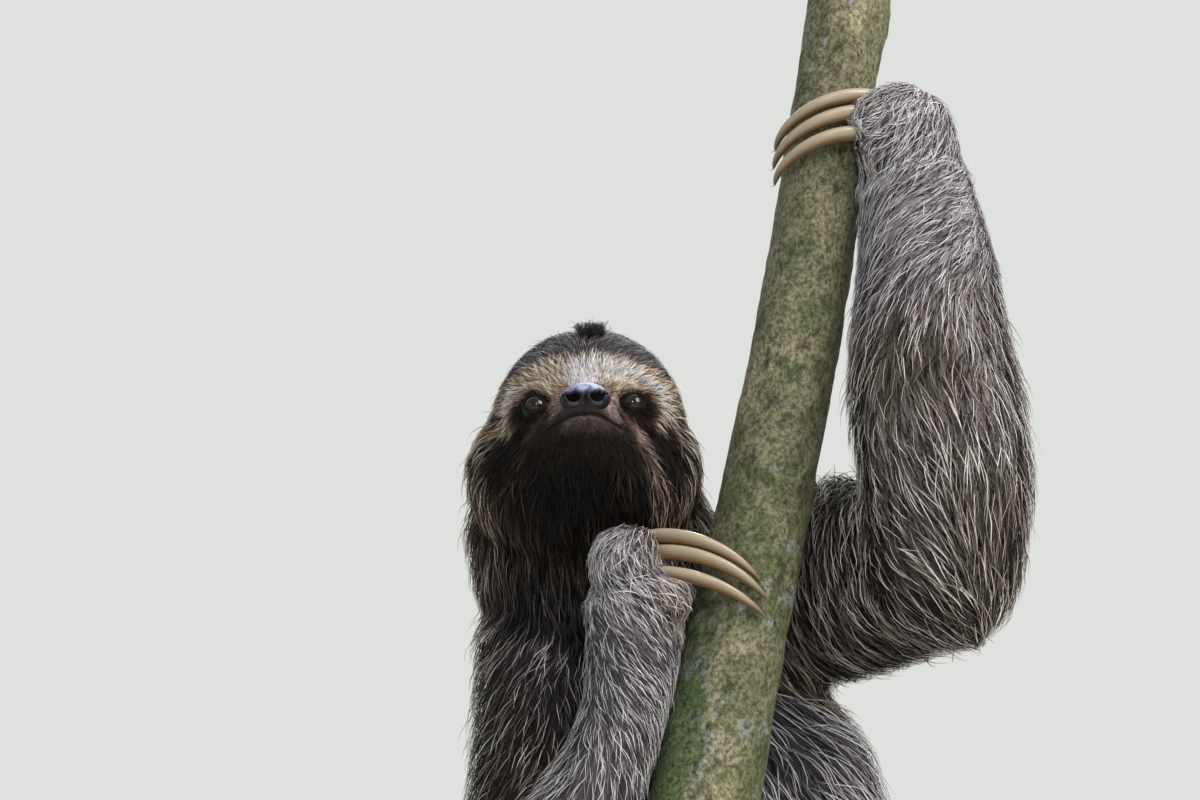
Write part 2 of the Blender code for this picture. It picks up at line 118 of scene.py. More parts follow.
def unit(vectors: Array) -> Array:
    """Scales each row to length 1."""
    return vectors / np.maximum(np.linalg.norm(vectors, axis=-1, keepdims=True), 1e-12)


def dot(one: Array, two: Array) -> Array:
    """The dot product of matching rows."""
    return np.einsum("...k,...k->...", one, two)


def bell(value: Array, centre: float | Array, width: float) -> Array:
    """A bell curve: 1 at its centre and 1/e a width away."""
    return np.exp(-(((value - centre) / width) ** 2))


def mixed(tone: Array, hex_code: str, share: Array | float) -> Array:
    """Moves colours towards one hex colour by one share, or by one for each row."""
    return tone + (linear(hex_code) - tone) * np.reshape(share, (-1, 1))


def fold(points: Array) -> Array:
    """What each place is multiplied by to bring it to the left side: -1 across on the right."""
    return np.where(points < 0.0, -1.0, 1.0) * [1.0, 0.0, 0.0] + [0.0, 1.0, 1.0]


def box_of(node: str) -> tuple[Array, Array]:
    """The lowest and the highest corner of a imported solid's box."""
    low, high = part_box(node)
    return np.array(low), np.array(high)


def middle_of(node: str) -> Array:
    """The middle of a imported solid's box."""
    return np.mean(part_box(node), axis=0)


def round_grid(rows: Array, columns: int) -> tuple[Array, Array]:
    """Each row's value beside even turns round a circle, as two flat lists, row by row."""
    turn = 2.0 * np.pi * np.arange(columns) / columns
    value, turn = np.meshgrid(rows, turn, indexing="ij")
    return value.ravel(), turn.ravel()


def on_circle(turn: Array) -> Array:
    """Places on a circle of radius 1 at each turn."""
    return np.stack([np.cos(turn), np.sin(turn)], axis=-1)


def noise(points: Array, spacing: float, seed: int) -> Array:
    """Smooth random values in space.

    Each corner of a cubic lattice holds a value hashed from its numbers, and a point takes the
    blend of its cell's eight corners by 3t^2 - 2t^3 along each axis.

    Args:
        points: Places, one to a row.
        spacing: The lattice's spacing in metres.
        seed: Picks one of many fields.

    Returns:
        A value from -1 to 1 for each point.
    """
    scaled = points / spacing
    base = np.floor(scaled).astype(np.int64)
    part = scaled - base
    part = part * part * (3.0 - 2.0 * part)
    total = np.zeros(len(points))
    for corner in range(8):
        offset = np.array([corner & 1, (corner >> 1) & 1, corner >> 2])
        weight = np.where(offset, part, 1.0 - part).prod(axis=1)
        value = (base + offset) @ np.array([73856093, 19349663, 83492791]) + seed * 40503
        value = (value ^ (value >> 13)) * 1274126177 & 0xFFFFFFFF
        value = (value ^ (value >> 15)) * 2246822519 & 0xFFFFFFFF
        total += weight * (value / 2147483648.0 - 1.0)
    return total


def fractal(points: Array, spacing: float, seed: int, octaves: int = 3) -> Array:
    """Noise summed over octaves, each half as wide and half as strong as the one before."""
    layers = [noise(points, spacing / 2**i, seed + i) / 2**i for i in range(octaves)]
    return np.sum(layers, axis=0)


def along_path(points: Array, path: list[Spot]) -> tuple[Array, Array]:
    """Finds how near points lie to a bent line.

    Args:
        points: Places, one to a row.
        path: The line's corners.

    Returns:
        The distance to the line, and the share of the line's corners passed at the nearest place.
    """
    corners = np.array(path, float)
    nearest = np.full(len(points), np.inf)
    share = np.zeros(len(points))
    for i, (start, end) in enumerate(zip(corners, corners[1:])):
        way = end - start
        t = np.clip((points - start) @ way / (way @ way), 0.0, 1.0)
        distance = np.linalg.norm(points - start - t[:, None] * way, axis=1)
        closer = distance < nearest
        nearest = np.where(closer, distance, nearest)
        share = np.where(closer, (i + t) / (len(corners) - 1), share)
    return nearest, share


# ---------------------------------------------------------------- meshes
@dataclass
class Surface:
    """A mesh as arrays: vertices, and faces of three or four corners each."""

    points: Array
    faces: Array
    tones: Array | None = None
    uvs: Array | None = None

    def normals(self) -> Array:
        """The vertex normals, each face counted by its area."""
        across = np.repeat(self.crosses(), 3, axis=0).T
        corners = self.faces.ravel()
        total = [np.bincount(corners, weights, len(self.points)) for weights in across]
        return unit(np.stack(total, axis=1))

    def crosses(self) -> Array:
        """Each triangle's normal, twice as long as its area."""
        first, second, third = np.moveaxis(self.points[self.faces], 1, 0)
        return np.cross(second - first, third - first)

    def edges(self) -> Array:
        """Each pair of vertices that a face side joins, once."""
        rolled = np.roll(self.faces, -1, axis=1)
        pairs = np.stack([self.faces.ravel(), rolled.ravel()], axis=1)
        return np.unique(np.sort(pairs, axis=1), axis=0)


def make_object(name: str, made: Surface, finish: Material) -> Piece:
    """Puts a surface's arrays into a mesh object at the origin.

    Args:
        name: The object's name.
        made: Its shape, with tones for each vertex and bake places for each vertex, if any.
        finish: Its material.

    Returns:
        The new object, smooth shaded.
    """
    mesh = bpy.data.meshes.new(name)
    corners = made.faces.shape[1]
    mesh.vertices.add(len(made.points))
    mesh.vertices.foreach_set("co", made.points.astype(np.float32).ravel())
    mesh.loops.add(made.faces.size)
    mesh.loops.foreach_set("vertex_index", made.faces.astype(np.int32).ravel())
    mesh.polygons.add(len(made.faces))
    mesh.polygons.foreach_set("loop_start", np.arange(0, made.faces.size, corners, dtype=np.int32))
    mesh.update(calc_edges=True)
    if made.tones is not None:
        layer = mesh.color_attributes.new(TONE, "FLOAT_COLOR", "POINT")
        coloured = np.concatenate([made.tones, np.ones((len(made.tones), 1))], axis=1)
        layer.data.foreach_set("color", coloured.astype(np.float32).ravel())
    if made.uvs is not None:
        spots = made.uvs if made.uvs.ndim == 3 else made.uvs[made.faces]
        mesh.uv_layers.new(name=BAKE_MAP).data.foreach_set("uv", spots.astype(np.float32).ravel())
    mesh.shade_smooth()
    mesh.materials.append(finish)
    made_object = bpy.data.objects.new(name, mesh)
    bpy.context.scene.collection.objects.link(made_object)
    return made_object


def report(piece: Piece) -> None:
    """Logs a finished piece."""
    LOG.info("%s: %d faces", piece.name, len(piece.data.polygons))


def arrays_of(source: Piece) -> Surface:
    """Reads an object as the viewport evaluates it.

    Args:
        source: A mesh object.

    Returns:
        Its surface, as triangles.
    """
    evaluated = source.evaluated_get(bpy.context.evaluated_depsgraph_get())
    mesh = evaluated.to_mesh()
    mesh.calc_loop_triangles()
    points = np.empty(len(mesh.vertices) * 3, np.float32)
    mesh.vertices.foreach_get("co", points)
    faces = np.empty(len(mesh.loop_triangles) * 3, np.int32)
    mesh.loop_triangles.foreach_get("vertices", faces)
    evaluated.to_mesh_clear()
    return Surface(points.reshape(-1, 3).astype(float), faces.reshape(-1, 3).astype(np.int64))


def modified(made: Surface, kind: str, **settings: object) -> Surface:
    """What one modifier makes of a surface.

    Args:
        made: The surface.
        kind: The modifier's type.
        **settings: The modifier's own properties.

    Returns:
        The new surface, as triangles.
    """
    held = make_object("held", made, bpy.data.materials.new("held"))
    modifier = held.modifiers.new(kind, kind)
    for name, setting in settings.items():
        setattr(modifier, name, setting)
    bpy.context.view_layer.update()
    changed = arrays_of(held)
    bpy.data.objects.remove(held)
    return changed


def welded(made: Surface, within: float = 1e-5) -> Surface:
    """Makes one vertex of those that share a place, and drops the faces that collapse."""
    keys = np.round(made.points / within).astype(np.int64)
    _, first, index = np.unique(keys, axis=0, return_index=True, return_inverse=True)
    faces = index.reshape(-1)[made.faces]
    kept = (faces[:, 0] != faces[:, 1]) & (faces[:, 1] != faces[:, 2]) & (faces[:, 2] != faces[:, 0])
    return Surface(made.points[first], faces[kept])


def grid_faces(rows: int, columns: int) -> Array:
    """Quads of a grid of vertices, row by row, whose last column joins its first.

    Args:
        rows: Rows of vertices.
        columns: Vertices in a row.

    Returns:
        Four vertex numbers for each quad, anticlockwise where rows run up and columns to the left.
    """
    i, k = np.meshgrid(np.arange(rows - 1), np.arange(columns), indexing="ij")
    n = (k + 1) % columns
    quads = [i * columns + k, i * columns + n, (i + 1) * columns + n, (i + 1) * columns + k]
    return np.stack(quads, axis=-1).reshape(-1, 4)


def with_caps(points: Array, rows: int, columns: int, first: Array, last: Array) -> Surface:
    """Closes a round grid to a pole at each end, as triangles.

    Args:
        points: The grid's vertices, row by row.
        rows: Rows of vertices.
        columns: Vertices in a row.
        first: The pole before the first row.
        last: The pole after the last row.

    Returns:
        The closed surface.
    """
    quads = grid_faces(rows, columns)
    sides = np.concatenate([quads[:, [0, 1, 2]], quads[:, [0, 2, 3]]])
    k = np.arange(columns)
    n = (k + 1) % columns
    start, end = len(points), len(points) + 1
    low = np.stack([np.full(columns, start), n, k], axis=1)
    high = np.stack([(rows - 1) * columns + k, (rows - 1) * columns + n, np.full(columns, end)], axis=1)
    return Surface(np.concatenate([points, [first], [last]]), np.concatenate([sides, low, high]))


def smoothed(values: Array, edges: Array, rounds: int, share: float = 0.5) -> Array:
    """Moves each vertex's values towards the mean of its neighbours', again and again.

    Args:
        values: One row to a vertex.
        edges: The pairs of neighbours.
        rounds: How many times.
        share: How far towards the mean each time.

    Returns:
        The smoothed values.
    """
    flat = values.reshape(len(values), -1).copy()
    both = np.concatenate([edges, edges[:, ::-1]])
    count = np.maximum(np.bincount(both[:, 0], minlength=len(values)), 1)
    for _ in range(rounds):
        for axis in range(flat.shape[1]):
            mean = np.bincount(both[:, 0], flat[both[:, 1], axis], len(values)) / count
            flat[:, axis] += share * (mean - flat[:, axis])
    return flat.reshape(values.shape)


class NearField:
    """The nearest of a set of points to any place near them, looked up from a grid of cells.

    Each cell first holds a point that lies in it. In each round a cell also tries what its six
    neighbours hold, and keeps the one nearest to its own centre.
    """

    def __init__(self, points: Array, cell: float, rounds: int) -> None:
        """Fills the grid.

        Args:
            points: The points to be found.
            cell: The side of a cell.
            rounds: How many cells out from the points a lookup may lie.
        """
        self.cell = cell
        self.low = points.min(axis=0) - cell * (rounds + 1)
        size = np.ceil((points.max(axis=0) - self.low) / cell).astype(int) + rounds + 2
        spots = np.floor((points - self.low) / cell).astype(int)
        self.held = np.full(size, -1, np.int64)
        self.held[tuple(spots.T)] = np.arange(len(points))
        middles = np.stack(np.meshgrid(*[np.arange(n) for n in size], indexing="ij"), axis=-1)
        middles = (middles + 0.5) * cell + self.low
        gap = np.where(self.held < 0, np.inf, dot(*[middles - points[self.held]] * 2))
        for _ in range(rounds):
            for axis in range(3):
                for step in (1, -1):
                    tried = np.roll(self.held, step, axis=axis)
                    at = tried >= 0
                    apart = np.full(gap.shape, np.inf)
                    away = middles[at] - points[tried[at]]
                    apart[at] = dot(away, away)
                    better = apart < gap
                    self.held[better] = tried[better]
                    gap[better] = apart[better]

    def nearest(self, places: Array) -> Array:
        """The number of the point found for each place, or 0 where none is near."""
        spots = np.floor((places - self.low) / self.cell).astype(int)
        spots = np.clip(spots, 0, np.array(self.held.shape) - 1)
        return np.maximum(self.held[tuple(spots.T)], 0)


# ---------------------------------------------------------------- materials
def add_node(
    tree: Tree, kind: str, values: dict | None = None, links: dict | None = None, **settings: object
) -> Node:
    """Adds one node.

    Args:
        tree: The material's node tree.
        kind: The node's type name, without the ShaderNode that starts it.
        values: Each input's name or number, and the value it is set to.
        links: Each input's name or number, and the output that feeds it.
        **settings: The node's own properties.

    Returns:
        The node.
    """
    node = tree.nodes.new("ShaderNode" + kind)
    for name, setting in settings.items():
        setattr(node, name, setting)
    for name, value in (values or {}).items():
        node.inputs[name].default_value = value
    for name, output in (links or {}).items():
        tree.links.new(output, node.inputs[name])
    return node


def rgba(hex_code: str) -> tuple[float, ...]:
    """A hex colour as linear red, green, blue and an alpha of 1."""
    return (*linear(hex_code), 1.0)


def ramp(node: Node, stops: list[tuple[float, str]]) -> None:
    """Sets a Color Ramp's stops from places and hex colours."""
    band = node.color_ramp
    while len(band.elements) < len(stops):
        band.elements.new(0.5)
    for element, (place, hex_code) in zip(band.elements, stops):
        element.position = place
        element.color = rgba(hex_code)


def per_mm(size_mm: float) -> float:
    """The texture scale that makes a pattern this many millimetres wide."""
    return 1.0 / (size_mm * MM)


def new_material(name: str) -> tuple[Material, Tree]:
    """Starts a material under its real name, and gives its node tree too."""
    made = bpy.data.materials.new(name)
    made.use_nodes = True
    return made, made.node_tree


def varied(tree: Tree, tone: Output, pattern: Output, low: float, high: float) -> Output:
    """A tone made darker and lighter by a pattern.

    Args:
        tree: The material's node tree.
        tone: The colour.
        pattern: A value from 0 to 1.
        low: What the tone is multiplied by where the pattern is 0.
        high: What it is multiplied by where the pattern is 1.

    Returns:
        The varied colour.
    """
    level = add_node(tree, "MapRange", {"To Min": low, "To Max": high}, {"Value": pattern})
    links = {0: tone, 1: level.outputs["Result"]}
    return add_node(tree, "VectorMath", None, links, operation="MULTIPLY").outputs["Vector"]


def finished(made: Material, links: dict, values: dict) -> Material:
    """Feeds the Principled shader.

    Args:
        made: The material.
        links: Each of the shader's inputs that an output feeds.
        values: Each of the shader's inputs that holds one value.

    Returns:
        The material.
    """
    shader = made.node_tree.nodes["Principled BSDF"]
    for name, output in links.items():
        made.node_tree.links.new(output, shader.inputs[name])
    for name, value in values.items():
        shader.inputs[name].default_value = value
    return made


@dataclass(frozen=True)
class HairFinish:
    """Coarse dry hair, whose cuticle gives a broad soft shine; each lock brings its own colour."""

    name: str = "sloth_hair"
    roughness: float = 0.62
    specular: float = 0.2
    fleck_mm: float = 1.2
    fleck_depth: float = 0.18

    def build(self) -> Material:
        """Colour from the locks' own tones, flecked along them, over a broad shine."""
        made, tree = new_material(self.name)
        place = add_node(tree, "TexCoord").outputs["Object"]
        tone = add_node(tree, "Attribute", attribute_name=TONE).outputs["Color"]
        spots = {"Scale": per_mm(self.fleck_mm), "Detail": 2.0}
        fleck = add_node(tree, "TexNoise", spots, {"Vector": place}).outputs["Fac"]
        flecked = varied(tree, tone, fleck, 1.0 - self.fleck_depth, 1.0 + self.fleck_depth)
        values = {"Roughness": self.roughness, "Specular IOR Level": self.specular}
        return finished(made, {"Base Color": flecked}, values)


@dataclass(frozen=True)
class HideFinish:
    """Hide under short hair, matt and finely pored; its tones are the coat's, with painted shade."""

    name: str = "sloth_hide"
    roughness: float = 0.7
    specular: float = 0.2
    pore_mm: float = 0.55
    pore_depth_mm: float = 0.25

    def build(self) -> Material:
        """Colour from the hide's own tones, mottled and pored."""
        made, tree = new_material(self.name)
        place = add_node(tree, "TexCoord").outputs["Object"]
        tone = add_node(tree, "Attribute", attribute_name=TONE).outputs["Color"]
        fine = {"Scale": per_mm(self.pore_mm), "Detail": 3.0}
        pores = add_node(tree, "TexNoise", fine, {"Vector": place}).outputs["Fac"]
        depth = {"Distance": self.pore_depth_mm * MM, "Strength": 0.8}
        bump = add_node(tree, "Bump", depth, {"Height": pores}).outputs["Normal"]
        values = {"Roughness": self.roughness, "Specular IOR Level": self.specular}
        return finished(made, {"Base Color": varied(tree, tone, pores, 0.72, 1.3), "Normal": bump}, values)


@dataclass(frozen=True)
class HornFinish:
    """Claw horn: keratin, worn smooth, waxy and a little translucent, with fine lines along it."""

    name: str = "claw_keratin"
    roughness: float = 0.34
    ior: float = 1.54
    line_mm: float = 0.5
    line_depth_mm: float = 0.12

    def build(self) -> Material:
        """Colour from the claw's own tones, with growth lines that run along its length."""
        made, tree = new_material(self.name)
        tone = add_node(tree, "Attribute", attribute_name=TONE).outputs["Color"]
        along = add_node(tree, "UVMap", uv_map="grain").outputs["UV"]
        fine = {"Scale": per_mm(self.line_mm), "Detail": 3.0, "Roughness": 0.6}
        lines = add_node(tree, "TexNoise", fine, {"Vector": along}).outputs["Fac"]
        depth = {"Distance": self.line_depth_mm * MM, "Strength": 0.6}
        bump = add_node(tree, "Bump", depth, {"Height": lines}).outputs["Normal"]
        values = {"Roughness": self.roughness, "IOR": self.ior, "Subsurface Weight": 0.12}
        values["Subsurface Radius"] = (0.002, 0.0012, 0.0006)
        return finished(made, {"Base Color": varied(tree, tone, lines, 0.72, 1.22), "Normal": bump}, values)


@dataclass(frozen=True)
class EyeFinish:
    """A wet eye: a tear film over a dark brown iris and a black pupil gives it sharp small glints."""

    name: str = "wet_eye"
    ior: float = 1.376

    def build(self) -> Material:
        """Colour and gloss from the eye's own tones and film."""
        made, tree = new_material(self.name)
        tone = add_node(tree, "Attribute", attribute_name=TONE).outputs["Color"]
        film = add_node(tree, "Attribute", attribute_name=FILM).outputs["Fac"]
        return finished(made, {"Base Color": tone, "Roughness": film}, {"IOR": self.ior})


@dataclass(frozen=True)
class NoseFinish:
    """Bare nose skin: moist, nearly black, finely pebbled, a cool sheen painted on top; dry in its pits."""

    name: str = "moist_nose_skin"
    roughness: float = 0.46
    specular: float = 0.18
    pebble_mm: float = 0.8
    pebble_depth_mm: float = 0.16
    pit_tone: tuple[float, float] = (0.0015, 0.0050)

    def build(self) -> Material:
        """Colour from the pad's own tones over a pebbled relief."""
        made, tree = new_material(self.name)
        place = add_node(tree, "TexCoord").outputs["Object"]
        tone = add_node(tree, "Attribute", attribute_name=TONE).outputs["Color"]
        cells = {"Scale": per_mm(self.pebble_mm)}
        pebbles = add_node(tree, "TexVoronoi", cells, {"Vector": place}, feature="SMOOTH_F1")
        depth = {"Distance": self.pebble_depth_mm * MM, "Strength": 0.7}
        bump = add_node(tree, "Bump", depth, {"Height": pebbles.outputs["Distance"]}, invert=True)
        first, last = self.pit_tone
        dry = {"From Min": first, "From Max": last, "To Min": 1.0, "To Max": self.roughness}
        rough = add_node(tree, "MapRange", dry, {"Value": tone}).outputs["Result"]
        links = {"Base Color": tone, "Normal": bump.outputs["Normal"], "Roughness": rough}
        return finished(made, links, {"Specular IOR Level": self.specular})


@dataclass(frozen=True)
class BarkFinish:
    """Thin smooth bark of a young trunk, with moss in its hollows and crusts of pale lichen."""

    name: str = "mossy_bark"
    roughness: float = 0.86
    grain_mm: float = 1.1
    grain_depth_mm: float = 0.5
    speck_mm: float = 1.9

    def build(self) -> Material:
        """Colour from the bark's own tones, specked with dark green hollows, grained and rough."""
        made, tree = new_material(self.name)
        place = add_node(tree, "TexCoord").outputs["Object"]
        tone = add_node(tree, "Attribute", attribute_name=TONE).outputs["Color"]
        drawn = add_node(tree, "Mapping", {"Scale": (1.0, 1.0, 0.85)}, {"Vector": place}).outputs["Vector"]
        wide = {"Scale": per_mm(self.speck_mm), "Detail": 6.0, "Roughness": 0.8}
        specks = add_node(tree, "TexNoise", wide, {"Vector": drawn}).outputs["Fac"]
        shade = add_node(tree, "ValToRGB", None, {"Fac": specks})
        ramp(shade, [(0.34, "#55553c"), (0.45, "#a3a887"), (0.52, "#dedccd"), (0.60, "#ffffff")])
        fine = {"Scale": per_mm(self.grain_mm), "Detail": 5.0, "Roughness": 0.65}
        grain = add_node(tree, "TexNoise", fine, {"Vector": drawn}).outputs["Fac"]
        links = {0: varied(tree, tone, grain, 0.7, 1.3), 1: shade.outputs["Color"]}
        specked = add_node(tree, "VectorMath", None, links, operation="MULTIPLY").outputs["Vector"]
        total = add_node(tree, "Math", None, {0: grain, 1: specks}, operation="ADD").outputs["Value"]
        depth = {"Distance": self.grain_depth_mm * MM, "Strength": 0.8}
        bump = add_node(tree, "Bump", depth, {"Height": total}).outputs["Normal"]
        return finished(made, {"Base Color": specked, "Normal": bump}, {"Roughness": self.roughness})


@dataclass(frozen=True)
class StainedWoodFinish:
    """Ebonised hardwood under satin lacquer: near black, with the grain just showing."""

    name: str = "ebonised_wood"
    dark: str = "#1c1815"
    light: str = "#2f2823"
    ring_mm: float = 7.0
    ring_depth_mm: float = 0.05
    roughness: float = 0.38
    coat: float = 0.25

    def build(self) -> Material:
        """Bent bands of grain across the plate, under a satin coat."""
        made, tree = new_material(self.name)
        place = add_node(tree, "TexCoord").outputs["Object"]
        bands = {"Scale": 0.25 * per_mm(self.ring_mm), "Distortion": 3.5, "Detail": 3.0}
        wave = add_node(tree, "TexWave", bands, {"Vector": place}, bands_direction="Y").outputs["Fac"]
        shade = add_node(tree, "ValToRGB", None, {"Fac": wave})
        ramp(shade, [(0.2, self.dark), (0.9, self.light)])
        depth = {"Distance": self.ring_depth_mm * MM, "Strength": 0.4}
        bump = add_node(tree, "Bump", depth, {"Height": wave}).outputs["Normal"]
        values = {"Roughness": self.roughness, "Coat Weight": self.coat, "Coat Roughness": 0.25}
        return finished(made, {"Base Color": shade.outputs["Color"], "Normal": bump}, values)


@dataclass(frozen=True)
class SteelFinish:
    """Brushed stainless steel rod: fine scratches round it blur its highlights."""

    name: str = "brushed_steel"
    colour: str = "#b9b9bb"
    roughness: tuple[float, float] = (0.22, 0.42)
    scratch_mm: float = 0.3

    def build(self) -> Material:
        """Scratches drawn as noise squeezed along the rod's height."""
        made, tree = new_material(self.name)
        place = add_node(tree, "TexCoord").outputs["Object"]
        squeezed = add_node(tree, "Mapping", {"Scale": (0.05, 0.05, 1.0)}, {"Vector": place})
        fine = {"Scale": per_mm(self.scratch_mm), "Detail": 3.0}
        scratches = add_node(tree, "TexNoise", fine, {"Vector": squeezed.outputs["Vector"]})
        spread = dict(zip(("To Min", "To Max"), self.roughness))
        level = add_node(tree, "MapRange", spread, {"Value": scratches.outputs["Fac"]})
        values = {"Base Color": rgba(self.colour), "Metallic": 1.0}
        return finished(made, {"Roughness": level.outputs["Result"]}, values)


@dataclass(frozen=True)
class FloorFinish:
    """A painted studio floor, pale and matt."""

    name: str = "matt_floor_paint"
    colour: str = "#d3d3ce"

    def build(self) -> Material:
        """One pale paint with a faint roller mottle."""
        made, tree = new_material(self.name)
        place = add_node(tree, "TexCoord").outputs["Object"]
        mottle = add_node(tree, "TexNoise", {"Scale": 30.0, "Detail": 2.0}, {"Vector": place})
        spread = {"To Min": 0.75, "To Max": 0.9}
        level = add_node(tree, "MapRange", spread, {"Value": mottle.outputs["Fac"]})
        return finished(made, {"Roughness": level.outputs["Result"]}, {"Base Color": rgba(self.colour)})


# ---------------------------------------------------------------- the head's own axes
@dataclass
class HeadFrame:
    """The head's axes: x to the animal's left, y ahead and z up, from the two eyes and the nose."""

    eye_forward: float = 0.0222
    nose_drop: float = 0.0057
    nose_ahead_of_eyes: float = 0.0233
    centre: Array = field(default_factory=lambda: np.zeros(3))
    axes: Array = field(default_factory=lambda: np.eye(3))

    def find(self) -> "HeadFrame":
        """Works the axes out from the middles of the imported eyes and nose.

        Ahead is the way from between the eyes to the nose, raised about x by the angle whose
        tangent is the nose's drop over its lead.

        Returns:
            The frame itself.
        """
        left, right, nose = (middle_of(name) for name in ("eye_left", "eye_right", "nose"))
        between = (left + right) / 2
        side = unit(left - right)
        way = nose - between
        way = unit(way - side * (way @ side))
        lifted = np.cross(way, side)
        angle = math.atan2(self.nose_drop, self.nose_ahead_of_eyes)
        ahead = way * math.cos(angle) + lifted * math.sin(angle)
        self.axes = np.stack([side, ahead, np.cross(ahead, side)])
        self.centre = between - ahead * self.eye_forward
        return self

    def local(self, points: Array) -> Array:
        """Places in the head's own axes."""
        return (points - self.centre) @ self.axes.T

    def world(self, points: Array) -> Array:
        """Places in the model's axes."""
        return self.centre + points @ self.axes


# ---------------------------------------------------------------- the markings
class Part(Enum):
    """The parts of the flesh: each one's label, its coat's depth and its hair's length, both in mm."""

    HEAD = (0, 6.0, 24.0)
    NECK = (1, 7.5, 34.0)
    CHEST = (2, 8.0, 36.0)
    BELLY = (3, 8.5, 38.0)
    TAIL = (4, 6.0, 26.0)
    ARM_LEFT_UPPER = (5, 7.5, 36.0)
    ARM_LEFT_FORE = (6, 5.5, 30.0)
    ARM_RIGHT_UPPER = (7, 7.0, 32.0)
    ARM_RIGHT_FORE = (8, 5.0, 24.0)
    HAND_LEFT = (9, 2.4, 18.0)
    HAND_RIGHT = (10, 2.4, 18.0)
    LEG_LEFT_THIGH = (11, 7.5, 36.0)
    LEG_LEFT_SHIN = (12, 5.5, 27.0)
    LEG_RIGHT_THIGH = (13, 7.5, 36.0)
    LEG_RIGHT_SHIN = (14, 5.5, 27.0)
    FOOT_LEFT = (15, 2.4, 9.0)
    FOOT_RIGHT = (16, 2.4, 9.0)

    @property
    def label(self) -> int:
        """The number that labels the part's points."""
        return self.value[0]

    @property
    def node(self) -> str:
        """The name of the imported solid."""
        return self.name.lower()


MOUTH_HEIGHT_MM = -13.1
MOUTH_FALL = 0.0030
FACE = (Part.HEAD,)
PAWS = (Part.HAND_LEFT, Part.HAND_RIGHT, Part.FOOT_LEFT, Part.FOOT_RIGHT)
CLAW_NODES = sorted(name for name in frame["nodes"] if name.startswith("claw_"))


def on(labels: Array, *parts: Part) -> Array:
    """Whether each label is one of some parts."""
    return np.isin(labels, [part.label for part in parts])


def nearest_of(points: Array, places: list[Array]) -> Array:
    """How far each point lies from the nearest of a few places."""
    return np.min([np.linalg.norm(points - place, axis=1) for place in places], axis=0)


def paw_reach(points: Array) -> Array:
    """How far places lie from the middle of the nearest paw."""
    return nearest_of(points, [middle_of(paw.node) for paw in PAWS])


def claw_reach(points: Array) -> Array:
    """How far places lie from the nearest claw's root."""
    return nearest_of(points, [Claws().arc(name)[0] for name in CLAW_NODES])


